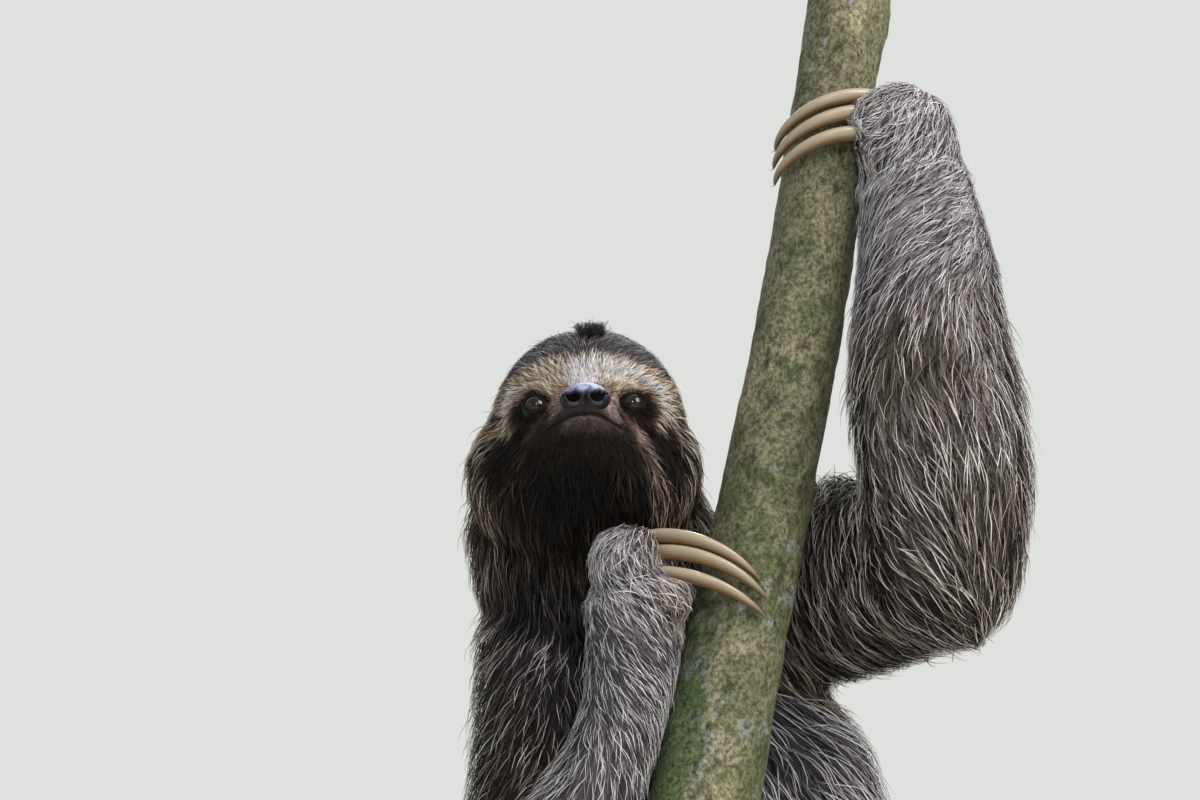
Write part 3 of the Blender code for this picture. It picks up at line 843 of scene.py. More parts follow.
@dataclass(frozen=True)
class Markings:
    """The colours of coat and hide alike, worked out from a place on the animal."""

    head: HeadFrame
    grey_beige: str = "#b6ada8"
    grey_pale: str = "#d6cfd2"
    grey_brown: str = "#887b70"
    grey_green: str = "#98977f"
    paw_pale: str = "#ede5f2"
    # Olive brown, laid both as a stain and as painted shade.
    stain_and_shade: str = "#6a6152"
    throat: str = "#17120f"
    throat_brown: str = "#504033"
    ruff: str = "#9c856f"
    crown: str = "#3f3a41"
    crown_pale: str = "#7b7182"
    band: str = "#f4e7d6"
    cream: str = "#f0dcbd"
    bridge: str = "#f6f2fa"
    muzzle: str = "#a89296"
    lips: str = "#2b2221"
    lower_lip: str = "#7d6d68"
    stripe: str = "#120e0c"
    lid: str = "#0f0b0a"
    blush: str = "#6e4636"
    cheek: str = "#c2a896"
    lateral: str = "#f2ddca"
    under_eye: str = "#c8a894"
    heel: str = "#a58f62"
    heel_end: str = "#c2aebd"
    quick: str = "#6e4a38"
    straw: str = "#cfa978"
    flank_from: tuple[float, float] = (0.012, 0.035)
    outer_from: tuple[float, float] = (-0.01, 0.02)
    fore_heights: tuple[float, float] = (0.467, 0.432)

    def body(self, points: Array, labels: Array) -> Array:
        """The coat of trunk and limbs.

        Grey beige, mottled with brown and a little green where algae lives, and paler towards the
        paws. Painted light makes it paler on the belly, the left thigh, the breast's left side and
        the right forearm, most low down, where painted shade darkens it at the wrist. Olive brown
        lies on neck, breast and upper arms and deepens down the left forearm to the elbow: partly
        stain, partly painted shade.

        Args:
            points: Places in the model's axes.
            labels: The part that each belongs to.

        Returns:
            Linear colours.
        """
        broad = fractal(points * [1.0, 1.0, 0.6], 0.045, 11)
        small = fractal(points, 0.014, 12)
        colour = mixed(linear(self.grey_beige), self.grey_brown, smooth(broad, -0.15, 0.9))
        colour = mixed(colour, self.grey_green, 0.4 * smooth(small + broad, 0.2, 1.2))
        colour = mixed(colour, self.grey_pale, 0.6 * smooth(small - broad, 0.2, 1.3))
        colour = mixed(colour, self.paw_pale, 0.9 * smooth(paw_reach(points), 0.115, 0.03))
        # Partly stain, partly painted shade: olive brown on upper arms, breast and neck, deepening down the
        # left forearm to the elbow.
        low, high = (corner[2] for corner in box_of("arm_left_fore"))
        fall = smooth(points[:, 2], low + 0.55 * (high - low), low - 0.01)
        stain_and_shade = fall * on(labels, Part.ARM_LEFT_FORE)
        stain_and_shade = np.where(on(labels, Part.ARM_LEFT_UPPER), 0.7 + 0.3 * fall, stain_and_shade)
        stain_and_shade = np.where(on(labels, Part.ARM_RIGHT_UPPER), 0.75, stain_and_shade)
        # Painted light: the breast's left side, the belly, the left thigh and the right forearm are made
        # paler.
        flank = on(labels, Part.CHEST) * smooth(points[:, 0], *self.flank_from)
        stain_and_shade = np.where(on(labels, Part.CHEST, Part.NECK), 0.55 - 0.55 * flank, stain_and_shade)
        outer = on(labels, Part.LEG_LEFT_THIGH, Part.BELLY) * smooth(points[:, 0], *self.outer_from)
        light = 0.6 * on(labels, Part.BELLY, Part.ARM_RIGHT_FORE)
        colour = mixed(colour, self.paw_pale, np.maximum(np.maximum(light, outer), flank))
        # Painted light and shade: the right forearm is darkened at the wrist and brightened low down.
        fall = smooth(points[:, 2], *self.fore_heights)
        colour = colour * (1.0 + on(labels, Part.ARM_RIGHT_FORE) * (fall - 0.25))[:, None]
        return self.hands(points, labels, mixed(colour, self.stain_and_shade, 0.8 * stain_and_shade))

    def hands(self, points: Array, labels: Array, colour: Array) -> Array:
        """Lays the yellowed right heel with its lilac end, and the raw skin between the claws' roots.

        Args:
            points: Places in the model's axes.
            labels: The part that each belongs to.
            colour: The coat's colours there.

        Returns:
            Linear colours.
        """
        low, high = box_of("hand_right")
        share = (points - low) / (high - low)
        right = on(labels, Part.HAND_RIGHT)
        heel = smooth(share[:, 2], 0.55, 0.35) * smooth(share[:, 0], 0.35, 0.6) * right
        end = smooth(share[:, 0], 0.86, 0.95) * heel
        near = claw_reach(points)
        colour = mixed(mixed(colour, self.heel, 0.65 * heel), self.heel_end, end)
        colour = mixed(colour, self.straw, 0.3 * smooth(near, 0.019, 0.011))
        return mixed(colour, self.quick, 0.3 * smooth(near, 0.013, 0.010) * right)

    def throat_and_shade_share(self, points: Array) -> Array:
        """How far the dark brown of the throat holds: in front, from under the chin to the breast.
        Reaching low on the breast, it also paints the shade between the breast and the right forearm.
        """
        local = self.head.local(points)
        depth = smooth(local[:, 1], -0.085, -0.035)
        side = smooth(np.abs(local[:, 0] + 0.008), 0.052, 0.028)
        fall = smooth(local[:, 2], -0.170, -0.095) * smooth(local[:, 2], -0.006, -0.022)
        return depth * side * fall

    def face(self, points: Array) -> Array:
        """The coat of the head, in its own axes.

        A pale band over the brow runs out above both eyes and down outside the cheeks. A nearly
        black stripe leaves each eye's outer corner backwards and down. The bridge is whitish, the
        muzzle pale brown, the lips and chin dark, the crown grey brown and the ruff brown. Painted
        light makes the band, muzzle, cheek and the streak beside the nose paler on the animal's
        left, and painted shade darkens the lower face and the mouth on its right.

        Args:
            points: Places in the model's axes.

        Returns:
            Linear colours.
        """
        local = self.head.local(points) / MM
        mirrored = local.copy()
        mirrored[:, 0] = np.abs(local[:, 0])
        x, y, z = mirrored.T
        wobble = fractal(local, 7.0, 31)
        colour = linear(self.ruff) + np.zeros((len(points), 1))

        def lay(hex_code: str, share: Array) -> None:
            """Lays one colour over the rest by its share at each point."""
            nonlocal colour
            colour = mixed(colour, hex_code, np.clip(share, 0.0, 1.0))

        front = smooth(y, -4.0, 10.0)
        lay(self.grey_beige, 0.5 * smooth(wobble, 0.0, 0.9) * smooth(y, 6.0, -10.0))
        top = smooth(z, 17.0, 25.0)
        lay(self.crown, top)
        lay(self.crown_pale, top * smooth(wobble, 0.1, 0.9) * 0.7)
        # How far a place lies to the animal's left; it paints light on that side of the face and shade on
        # the other.
        left = smooth(local[:, 0], -6.0, 10.0)
        lay(self.throat_brown, front * smooth(z, 3.0, -5.0) * smooth(x, 36.0, 30.0) * 0.9)
        # Painted shade: the lower face is darkened on the animal's right.
        lay(self.lips, front * smooth(z, 0.0, -7.0) * smooth(x, 34.0, 28.0) * 0.6 * (1.0 - left))
        beyond, _ = along_path(mirrored, [(33, 17, 9), (41, 8, -6), (44, 4, -24), (42, 2, -40)])
        lay(self.lateral, smooth(beyond + 2.0 * wobble, 6.5, 2.5))
        arch, _ = along_path(mirrored, [(0, 29, 16), (14, 28, 15), (25, 22, 12.5), (34, 15, 8)])
        reach = arch + 1.6 * wobble + 4.0 * smooth(x, 13.0, 28.0)
        # Painted shade: the band is dimmed on the animal's right.
        lay(self.band, smooth(reach, 10.0, 6.0) * smooth(z, 25.0, 20.0) * (0.24 + 0.76 * left))
        middle = np.hypot(x / 6.5, (z - 11.5) / 7.0)
        lay(self.bridge, smooth(middle + 0.2 * wobble, 1.35, 0.6) * front * 0.95)
        jaw = smooth(z, -15.0, -20.0) * smooth(x + 4.0 * wobble, 27.0, 13.0) * front
        lay(self.throat_brown, jaw * 0.85)
        lay(self.lips, jaw * 0.45 * smooth(z, -17.0, -24.0))
        deep = smooth(z, -22.0, -31.0) * smooth(x + 6.0 * wobble, 29.0, 13.0) * smooth(y, -6.0, 6.0)
        lay(self.throat, deep * 0.85)
        # Painted light: the pale cheek streak is laid on the animal's left side only.
        strands, _ = along_path(local, [(27, 23, -14), (32, 16, -22), (32, 8, -36)])
        lay(self.cheek, smooth(strands + 2.0 * wobble, 9.0, 3.5) * 0.95)
        snout = smooth(y, 31.0, 38.0) * smooth(x, 22.0, 15.0) * smooth(z, -15.5, -12.5)
        # Painted light: the muzzle is paler on the animal's left.
        lay(self.muzzle, snout * smooth(z, 11.0, 4.0) * smooth(x, 8.0, 13.0) * (0.5 + 0.45 * left))
        flank, _ = along_path(mirrored, [(8.5, 37, 11), (13.5, 35, 4), (18.5, 32, -3.5)])
        # Painted light: the pale streak beside the nose is stronger on the animal's left.
        lay(self.bridge, smooth(flank, 4.0, 1.5) * (0.10 + 0.6 * left))
        crease, _ = along_path(local, [(14.0, 35, 3), (18.5, 31, -3.0), (26.5, 24, -10.5)])
        lay(self.under_eye, smooth(crease, 2.8, 1.2))
        mouth, _ = along_path(mirrored, [(0, 47, -12.5), (9, 45, -13), (17, 37, -14.0)])
        # The dark of the mouth, cut back on the animal's left: the difference between the sides is painted
        # light and shade.
        wet = 0.9 - 0.6 * smooth(local[:, 0], 6.0, 13.0)
        lay(self.lips, smooth(mouth + 0.5 * wobble, 6.0, 2.6) * wet)
        under = np.hypot(x / 12.0, (z + 16.8) / 2.9)
        lay(self.lower_lip, smooth(under + 0.15 * wobble, 1.25, 0.6) * front * 0.85)
        cleft = smooth(x, 7.0, 3.0) * smooth(z, -7.0, -9.5) * smooth(z, -14.5, -13.0)
        lay(self.lips, cleft * smooth(y, 34.0, 38.0))
        line = np.abs(z - MOUTH_HEIGHT_MM + MOUTH_FALL * x**2) / 1.1
        lay(self.lid, smooth(line, 1.0, 0.4) * smooth(x, 18.5, 16.0) * front)
        stripe, share = along_path(
            mirrored, [(25, 27, -0.5), (31, 21, -4), (36.5, 14, -10.5), (39.5, 11, -20), (39, 9, -30)]
        )
        width = 4.2 + 5.0 * np.sin(np.pi * share) ** 0.8
        lay(self.stripe, smooth(stripe / width + 0.2 * wobble, 1.3, 0.8))
        inner, _ = along_path(mirrored, [(23.4, 28, 0.5), (17.5, 31, -3.5), (15.8, 33, -7.0)])
        lay(self.lips, smooth(inner, 3.2, 1.4) * 0.75)
        rim = np.hypot((x - 23.6) / 7.5, (z - 0.8) / 6.3)
        outer = smooth(x, 19.0, 24.0) * smooth(z, -7.0, -2.0)
        lay(self.blush, smooth(rim, 1.42, 1.12) * outer * front * 0.7)
        halo = bell(rim, 1.45, 0.17) * smooth(z + 0.5 * x, 8.0, 13.0)
        lay(self.cream, halo * front * 0.85)
        lay(self.lid, smooth(rim, 1.12, 0.82) * front)
        return colour

    def at(self, points: Array, labels: Array) -> Array:
        """The colour of coat and hide, blended where head meets body.

        Args:
            points: Places in the model's axes.
            labels: The part that each belongs to.

        Returns:
            Linear colours.
        """
        _, behind, height = self.head.local(points).T
        on_neck = on(labels, Part.NECK) * smooth(height, -0.07, -0.03) * 0.5
        share = np.maximum(on(labels, Part.HEAD) * smooth(behind, -0.055, -0.030), on_neck)[:, None]
        body = self.body(points, labels)
        dark = self.throat_and_shade_share(points)[:, None]
        fleck = smooth(fractal(points, 0.010, 17), 0.1, 1.0)
        deep = mixed(linear(self.throat), self.throat_brown, fleck)
        whole = body + (self.face(points) - body) * share
        reach = on(labels, Part.HEAD, Part.NECK, Part.CHEST)[:, None]
        return whole + (deep - whole) * dark * 0.92 * reach


# ---------------------------------------------------------------- the skin
@dataclass
class Lobe:
    """An ellipsoid that gives the head one of its masses, in the head's own axes, in metres."""

    offset: Spot
    axes: Spot
    depth_mm: float

    def reach(self, ways: Array) -> Array:
        """How far rays from the head's centre run to the ellipsoid's far side, under its coat.

        A ray way*s meets it where |way*s/axes - offset/axes| = 1, the larger root of a quadratic.

        Args:
            ways: Unit directions.

        Returns:
            The distances, 0 where the ray misses.
        """
        axes = np.array(self.axes) - self.depth_mm * MM
        scaled = ways / axes
        start = -np.array(self.offset) / axes
        a = dot(scaled, scaled)
        b = 2.0 * scaled @ start
        c = start @ start - 1.0
        inside = b * b - 4.0 * a * c
        return np.where(inside > 0.0, (-b + np.sqrt(np.maximum(inside, 0.0))) / (2.0 * a), 0.0)


def reach_of(lobes: tuple[Lobe, ...], ways: Array, blend: float) -> Array:
    """The lobes' joint reach: the larger of two, rounded where they are within the blend."""
    total = np.full(len(ways), 0.001)
    for lobe in lobes:
        other = lobe.reach(ways)
        h = np.maximum(blend - np.abs(total - other), 0.0) / blend
        total = np.maximum(total, other) + h * h * blend / 4.0
    return total


@dataclass
class FaceShape:
    """The head under its coat, with lids, brows, muzzle, lips and the seat of the nose."""

    head: HeadFrame
    columns: int = 264
    rows: int = 188
    blend: float = 0.007
    eye_radius: float = 0.0066
    eye_place: Spot = (0.0219, 0.0219, 0.0006)
    eye_gaze: Spot = (0.24, 0.96, 0.08)
    opening: tuple[float, float] = (0.0046, 0.0036)
    lobes: tuple[Lobe, ...] = (
        Lobe((0.0020, -0.012, 0.001), (0.0465, 0.0420, 0.0508), 3.5),
        Lobe((-0.0009, -0.016, -0.0180), (0.0570, 0.0390, 0.0460), 8.0),
        Lobe((0.0, 0.006, 0.006), (0.0360, 0.0270, 0.0300), 2.0),
        Lobe((0.0, 0.008, -0.019), (0.0300, 0.0350, 0.0230), 4.0),
        Lobe((0.0, 0.016, -0.009), (0.0190, 0.0345, 0.0150), 0.8),
    )

    def eyes(self, points: Array) -> tuple[Array, Array, Array]:
        """How places lie to the nearer eye.

        Args:
            points: Places in the head's own axes.

        Returns:
            Where each lies across the eye and over it, as shares of the lid opening's half
            width and half height, and how far it lies out along the gaze from the eye's middle.
        """
        gaze = unit(np.array(self.eye_gaze))
        outward = unit(np.cross(gaze, UP))
        over = np.cross(outward, gaze)
        away = points * fold(points) - np.array(self.eye_place)
        return away @ outward / self.opening[0], away @ over / self.opening[1], away @ gaze

    def points(self) -> tuple[Array, Array, Array]:
        """The head's surface: a reach for each direction, drawn in and out by its features.

        Directions run from the pole ahead, at the nose, to the pole behind. The power on the
        polar angle packs the rows towards the face.

        Returns:
            The grid's points row by row, and the two poles, in the head's own axes.
        """
        t = (np.arange(self.rows) + 0.5) / self.rows
        polar, turn = round_grid(np.pi * t**1.35, self.columns)
        ways = np.stack([np.cos(turn) * np.sin(polar), np.cos(polar), np.sin(turn) * np.sin(polar)], axis=1)
        ways = np.concatenate([ways, [[0.0, 1.0, 0.0], [0.0, -1.0, 0.0]]])
        placed = ways * reach_of(self.lobes, ways, self.blend)[:, None]
        placed = placed + ways * self.features(placed)[:, None]
        placed = self.lids(placed)
        return placed[:-2], placed[-2], placed[-1]

    def mouth_mm(self, side: Array) -> Array:
        """The height of the mouth's line at a distance from the middle, both in millimetres."""
        return MOUTH_HEIGHT_MM - MOUTH_FALL * side**2

    def features(self, points: Array) -> Array:
        """How far the muzzle, mouth, brows, cheeks and nose's seat stand out of the lobes.

        Each feature is a bell curve of the place's millimetres, faded out behind the face.

        Args:
            points: Places in the head's own axes.

        Returns:
            Distances in metres.
        """
        x, y, z = (points / MM).T
        side = np.abs(x)
        front = smooth(y, 16.0, 30.0)
        height = self.mouth_mm(side)
        out = -1.3 * bell(z, height, 0.75) * smooth(side, 21.0, 16.0)
        out += -3.0 * bell(x, 0.0, 8.0) * bell(z, -5.0, 4.5) * smooth(y, 38.0, 43.0)
        out += 0.9 * bell(z, height + 3.6, 2.6) * smooth(side, 17.0, 8.0)
        out += 0.7 * bell(z, height - 3.4, 2.4) * smooth(side, 14.0, 6.0)
        out += -0.8 * bell(x, 0.0, 0.9) * smooth(z, -15.5, -14.0) * smooth(z, -9.0, -11.0)
        out += -0.8 * bell(side, 21.5, 1.2) * bell(z, height, 2.6)
        brow = bell(side, 23.0, 9.0) * bell(z, 9.0, 3.2)
        socket = bell(side, 15.5, 4.0) * bell(z, -0.5, 6.0)
        cheek = bell(side, 25.0, 8.0) * bell(z, -12.0, 6.0)
        out += 1.1 * brow - 1.0 * socket + 0.9 * cheek
        bridge = bell(x, 0.0, 5.5) * bell(z, 6.0, 7.0)
        return (out + 0.8 * bridge) * front * MM

    def lids(self, points: Array) -> Array:
        """Draws the skin over the eyes and opens it.

        Near an eye the skin takes the eyeball's own sphere, a lid's thickness out, so that it
        wraps the ball. Each lid swells to a rim at the opening, a crease lies above the upper lid,
        and within the opening the skin drops behind the ball's front.

        Args:
            points: Places in the head's own axes.

        Returns:
            The moved places.
        """
        across, over, out = self.eyes(points)
        over = over + 0.10 * across**2 * np.sign(over) - 0.12 * across
        round_it = np.hypot(across, over)
        apart = np.hypot(across * self.opening[0], over * self.opening[1])
        lid = 0.40 * MM + 0.35 * MM * bell(round_it, 1.12, 0.16)
        shell = self.eye_radius + lid
        wrapped = np.sqrt(np.maximum(shell**2 - np.minimum(apart, shell * 0.96) ** 2, 0.0))
        near = smooth(apart, 0.0094, 0.0052)
        moved = (wrapped - out) * near
        crease = 0.7 * bell(round_it, 1.75, 0.16) * smooth(over, 0.1, 1.0)
        under = 0.45 * bell(round_it, 1.8, 0.2) * smooth(over, -0.1, -1.0)
        moved = moved - (crease + under) * MM
        moved = moved - 0.0050 * smooth(round_it, 1.03, 0.84)
        gaze = unit(np.array(self.eye_gaze)) * fold(points)
        return points + gaze * (moved * smooth(out, -0.004, 0.001))[:, None]

    def surface(self) -> Surface:
        """The closed surface in the model's axes, faces outward."""
        body, front, back = self.points()
        ends = self.head.world(np.stack([front, back]))
        return outward(with_caps(self.head.world(body), self.rows, self.columns, *ends))


@dataclass
class Skin:
    """The one skin of the whole animal, and what the coat needs to know of it."""

    head: HeadFrame
    marks: Markings
    voxel: float = 0.0034
    swell: float = 0.0005
    cloud_step: float = 0.0022
    under_head_mm: float = 3.0
    inner_limit: float = 0.0036
    surface: Surface | None = None
    labels: Array | None = None
    depth: Array | None = None
    normals: Array | None = None

    def cloud(self) -> tuple[Array, Array]:
        """Points spread over the solids of flesh.

        Each triangle holds an even lattice, so fine that no two points lie further apart than
        the step.

        Returns:
            The points, and the part that each is on.
        """
        gathered = []
        numbers = []
        for part in Part:
            solid = arrays_of(frame["nodes"][part.node])
            corners = solid.points[solid.faces]
            longest = np.linalg.norm(corners - np.roll(corners, 1, axis=1), axis=2).max(axis=1)
            steps = np.ceil(longest / self.cloud_step).astype(int).clip(1, 30)
            for count in np.unique(steps):
                a, b = np.meshgrid(np.arange(count + 1), np.arange(count + 1), indexing="ij")
                kept = a + b <= count
                a, b = a[kept] / count, b[kept] / count
                weights = np.stack([1.0 - a - b, a, b], axis=1)
                spread = np.einsum("wk,fkx->fwx", weights, corners[steps == count]).reshape(-1, 3)
                gathered.append(spread)
                numbers.append(np.full(len(spread), part.label))
        return np.concatenate(gathered), np.concatenate(numbers)

    def body(self, head_out: float) -> Surface:
        """Trunk, limbs and head as one closed surface, before the coat is taken off.

        Each solid is swollen a little, so that they overlap, and a voxel remesh joins them.

        Args:
            head_out: How far the head swells, in metres; below 0 it shrinks.

        Returns:
            The surface.
        """
        pieces = []
        for part in Part:
            solid = welded(arrays_of(frame["nodes"][part.node]))
            out = self.swell if part is not Part.HEAD else head_out
            pieces.append(Surface(solid.points + solid.normals() * out, solid.faces))
        shift = np.cumsum([0] + [len(piece.points) for piece in pieces[:-1]])
        points = np.concatenate([piece.points for piece in pieces])
        faces = np.concatenate([piece.faces + n for piece, n in zip(pieces, shift)])
        joined = Surface(points, faces)
        return largest_shell(welded(modified(joined, "REMESH", mode="VOXEL", voxel_size=self.voxel)))

    def united(self, one: Surface, two: Surface) -> Surface:
        """One closed surface round both, by an exact Boolean union."""
        other = make_object("other", two, bpy.data.materials.new("other"))
        made = modified(one, "BOOLEAN", operation="UNION", solver="EXACT", object=other)
        bpy.data.objects.remove(other)
        return largest_shell(welded(made, 1e-6))

    def build(self) -> None:
        """Makes the skin, its labels, the depth of coat over it and its normals.

        Places of the solids that lie inside their union, where two meet, are left out. Then the
        union is drawn in until the solids lie the coat's depth out from it everywhere.
        """
        cloud, numbers = self.cloud()
        whole = self.body(self.swell).points
        outside = whole[NearField(whole, 0.004, 5).nearest(cloud)]
        kept = np.linalg.norm(outside - cloud, axis=1) < self.inner_limit
        cloud, numbers = cloud[kept], numbers[kept]
        near = NearField(cloud, 0.004, 5)
        core = self.body(-self.under_head_mm * MM)
        depths = np.array([part.value[1] for part in Part]) * MM
        edges = core.edges()
        depth = depths[numbers[near.nearest(core.points)]]
        depth = smoothed(depth * (0.4 + 0.6 * smooth(paw_reach(core.points), 0.03, 0.12)), edges, 30)
        core.points = smoothed(core.points, edges, 6)
        inward = smoothed(core.normals(), edges, 8)
        core.points = smoothed(core.points - unit(inward) * depth[:, None], edges, 6)
        for _ in range(3):
            out = core.normals()
            gap = dot(cloud[near.nearest(core.points)] - core.points, out)
            change = smoothed(np.clip(gap - depth, -0.003, 0.008), edges, 6)
            core.points = smoothed(core.points + out * change[:, None], edges, 1)
        self.surface = self.united(core, FaceShape(self.head).surface())
        points = self.surface.points
        nearest = near.nearest(points)
        self.labels = numbers[nearest]
        self.normals = self.surface.normals()
        solid = cloud[nearest]
        edges = self.surface.edges()
        gap = np.clip(dot(solid - points, self.normals), 0.0008, 0.016)
        self.depth = smoothed(gap, edges, 10)

    def dress(self, finish: Material) -> Piece:
        """Makes the skin's object in the coat's colours, darkened as painted shade under deep coat.

        Args:
            finish: The hide.

        Returns:
            The object.
        """
        tones = self.marks.at(self.surface.points, self.labels)
        local = self.head.local(self.surface.points) / MM
        bare = smooth(local[:, 1], 22.0, 34.0)[:, None]
        deep = smooth(self.depth / MM, 0.5, 3.0)[:, None]
        # Painted shade: the hide is darkest under deep coat and lighter on the bare front of the face.
        self.surface.tones = tones * (0.45 - 0.39 * deep + 0.45 * bare)
        made = make_object("skin", self.surface, finish)
        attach(made, BODY)
        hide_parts(*[part.node for part in Part])
        report(made)
        return made

    def unwrap(self, made: Piece) -> Array:
        """Unwraps the skin into flat islands by the way its faces look, and reads the map.

        Args:
            made: The skin's object.

        Returns:
            The map's place for each corner of each face.
        """
        made.data.uv_layers.new(name=BAKE_MAP)
        bpy.context.view_layer.objects.active = made
        made.select_set(True)
        bpy.ops.object.mode_set(mode="EDIT")
        bpy.ops.mesh.select_all(action="SELECT")
        bpy.ops.uv.smart_project(angle_limit=math.radians(70.0), island_margin=0.002)
        bpy.ops.object.mode_set(mode="OBJECT")
        made.select_set(False)
        places = np.empty(len(made.data.loops) * 2, np.float32)
        made.data.uv_layers[BAKE_MAP].data.foreach_get("uv", places)
        return places.reshape(-1, 3, 2).astype(float)


def largest_shell(made: Surface) -> Surface:
    """Keeps the piece of a surface that has the most vertices.

    Every vertex takes the lowest number among its neighbours until nothing changes, jumping
    each time to the number that its own number holds.

    Args:
        made: A surface of one or more pieces.

    Returns:
        The piece kept.
    """
    edges = made.edges()
    group = np.arange(len(made.points))
    while True:
        low = np.minimum(group[edges[:, 0]], group[edges[:, 1]])
        lowered = group.copy()
        np.minimum.at(lowered, group[edges[:, 0]], low)
        np.minimum.at(lowered, group[edges[:, 1]], low)
        np.minimum.at(lowered, edges[:, 0], low)
        np.minimum.at(lowered, edges[:, 1], low)
        lowered = lowered[lowered]
        if np.array_equal(lowered, group):
            break
        group = lowered
    largest = np.bincount(group).argmax()
    kept = group == largest
    number = np.cumsum(kept) - 1
    return Surface(made.points[kept], number[made.faces[kept[made.faces[:, 0]]]])


@dataclass
class LogShape:
    """The round of the perch, read from its packed rings: its middle and radius at each height."""

    heights: Array
    middles: Array
    radii: Array

    @classmethod
    def find(cls) -> "LogShape":
        """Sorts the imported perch's vertices into rings by their height."""
        points = welded(arrays_of(frame["nodes"]["perch"])).points
        heights, ring = np.unique(np.round(points[:, 2], 4), return_inverse=True)
        ring = ring.reshape(-1)
        count = np.bincount(ring)
        middles = np.stack([np.bincount(ring, points[:, k]) / count for k in range(2)], axis=1)
        radii = np.zeros(len(heights))
        np.maximum.at(radii, ring, np.linalg.norm(points[:, :2] - middles[ring], axis=1))
        return cls(heights, middles, radii)

    def at(self, height: Array) -> tuple[Array, Array]:
        """The middle and the radius at any heights, by straight lines between the rings."""
        middle = [np.interp(height, self.heights, self.middles[:, k]) for k in range(2)]
        return np.stack(middle, axis=-1), np.interp(height, self.heights, self.radii)

    def keep_off(self, points: Array, gap: float) -> Array:
        """Moves places that lie in the log, or within the gap round it, straight out of it."""
        middle, radius = self.at(points[..., 2])
        away = points[..., :2] - middle
        distance = np.linalg.norm(away, axis=-1)
        inside = (points[..., 2] > self.heights[0]) & (points[..., 2] < self.heights[-1])
        wanted = np.where(inside, np.maximum(distance, radius + gap), distance)
        moved = points.copy()
        moved[..., :2] = middle + away * (wanted / np.maximum(distance, 1e-6))[..., None]
        return moved


# ---------------------------------------------------------------- eyes, nose and claws
def along_gaze(rows: int, columns: int, gaze: Array, power: float = 1.0) -> tuple[Array, Array, Array]:
    """Directions on a sphere whose rows run from a gaze to the pole behind it.

    Args:
        rows: Rows between the poles.
        columns: Directions in a row.
        gaze: The first pole.
        power: Packs the rows towards the first pole when over 1.

    Returns:
        The directions row by row, each one's angle from the gaze, and its turn round it.
    """
    polar, turn = round_grid(np.pi * ((np.arange(rows) + 0.5) / rows) ** power, columns)
    side = unit(np.cross(gaze, UP))
    over = np.cross(side, gaze)
    flat = side * np.cos(turn)[:, None] + over * np.sin(turn)[:, None]
    return gaze * np.cos(polar)[:, None] + flat * np.sin(polar)[:, None], polar, turn


def outward(made: Surface) -> Surface:
    """Turns a closed surface's faces outward, by the sign of the volume that they bound."""
    if dot(made.points[made.faces[:, 0]], made.crosses()).sum() < 0.0:
        made.faces = made.faces[:, ::-1]
    return made


@dataclass
class Eyes:
    """Two small dark eyes, each one closed ball with a bulging cornea over the iris."""

    head: HeadFrame
    rows: int = 60
    columns: int = 72
    iris_angle: float = math.radians(42.0)
    pupil_angle: float = math.radians(15.0)
    bulge_mm: float = 0.45
    iris: str = "#130c09"
    iris_pale: str = "#2e2019"
    rim: str = "#090606"
    white: str = "#0f0a09"

    def build(self, finish: Material) -> None:
        """Makes both eyes.

        The ball's radius grows by the bulge within the iris's angle. The iris has fine rays of
        paler brown, a dark rim and a black pupil.
        """
        face = FaceShape(self.head)
        for name, sign in (("eye_left", 1.0), ("eye_right", -1.0)):
            gaze = unit(np.array(face.eye_gaze)) * [sign, 1.0, 1.0]
            ways, polar, turn = along_gaze(self.rows, self.columns, gaze, 1.4)
            ways = np.concatenate([ways, [gaze, -gaze]])
            polar = np.concatenate([polar, [0.0, np.pi]])
            turn = np.concatenate([turn, [0.0, 0.0]])
            radius = face.eye_radius + self.bulge_mm * MM * smooth(polar, self.iris_angle, 0.25)
            body = np.array(face.eye_place) * [sign, 1.0, 1.0] + ways * radius[:, None]
            body = self.head.world(body)
            made = with_caps(body[:-2], self.rows, self.columns, body[-2], body[-1])
            part = polar / self.iris_angle
            rays = 0.5 + 0.3 * np.sin(31.0 * turn) + 0.2 * np.sin(47.0 * turn + 9.0 * polar)
            inner = smooth(polar, self.iris_angle * 0.85, self.pupil_angle)
            tone = mixed(linear(self.iris), self.iris_pale, np.clip(rays * 0.7 + 0.4 * inner, 0.0, 1.0))
            tone = mixed(tone, self.rim, smooth(part, 0.80, 0.97))
            tone = mixed(tone, self.white, smooth(part, 1.0, 1.2))
            pupil = smooth(polar / self.pupil_angle, 1.15, 0.9)
            made.tones = tone * (1.0 - 0.6 * pupil)[:, None]
            piece = make_object(name + "_wet", outward(made), finish)
            film = piece.data.attributes.new(FILM, "FLOAT", "POINT")
            dry = 0.05 + 0.5 * smooth(part, 0.95, 1.1)
            film.data.foreach_set("value", dry.astype(np.float32))
            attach(piece, BODY)
            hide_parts(name)
            report(piece)


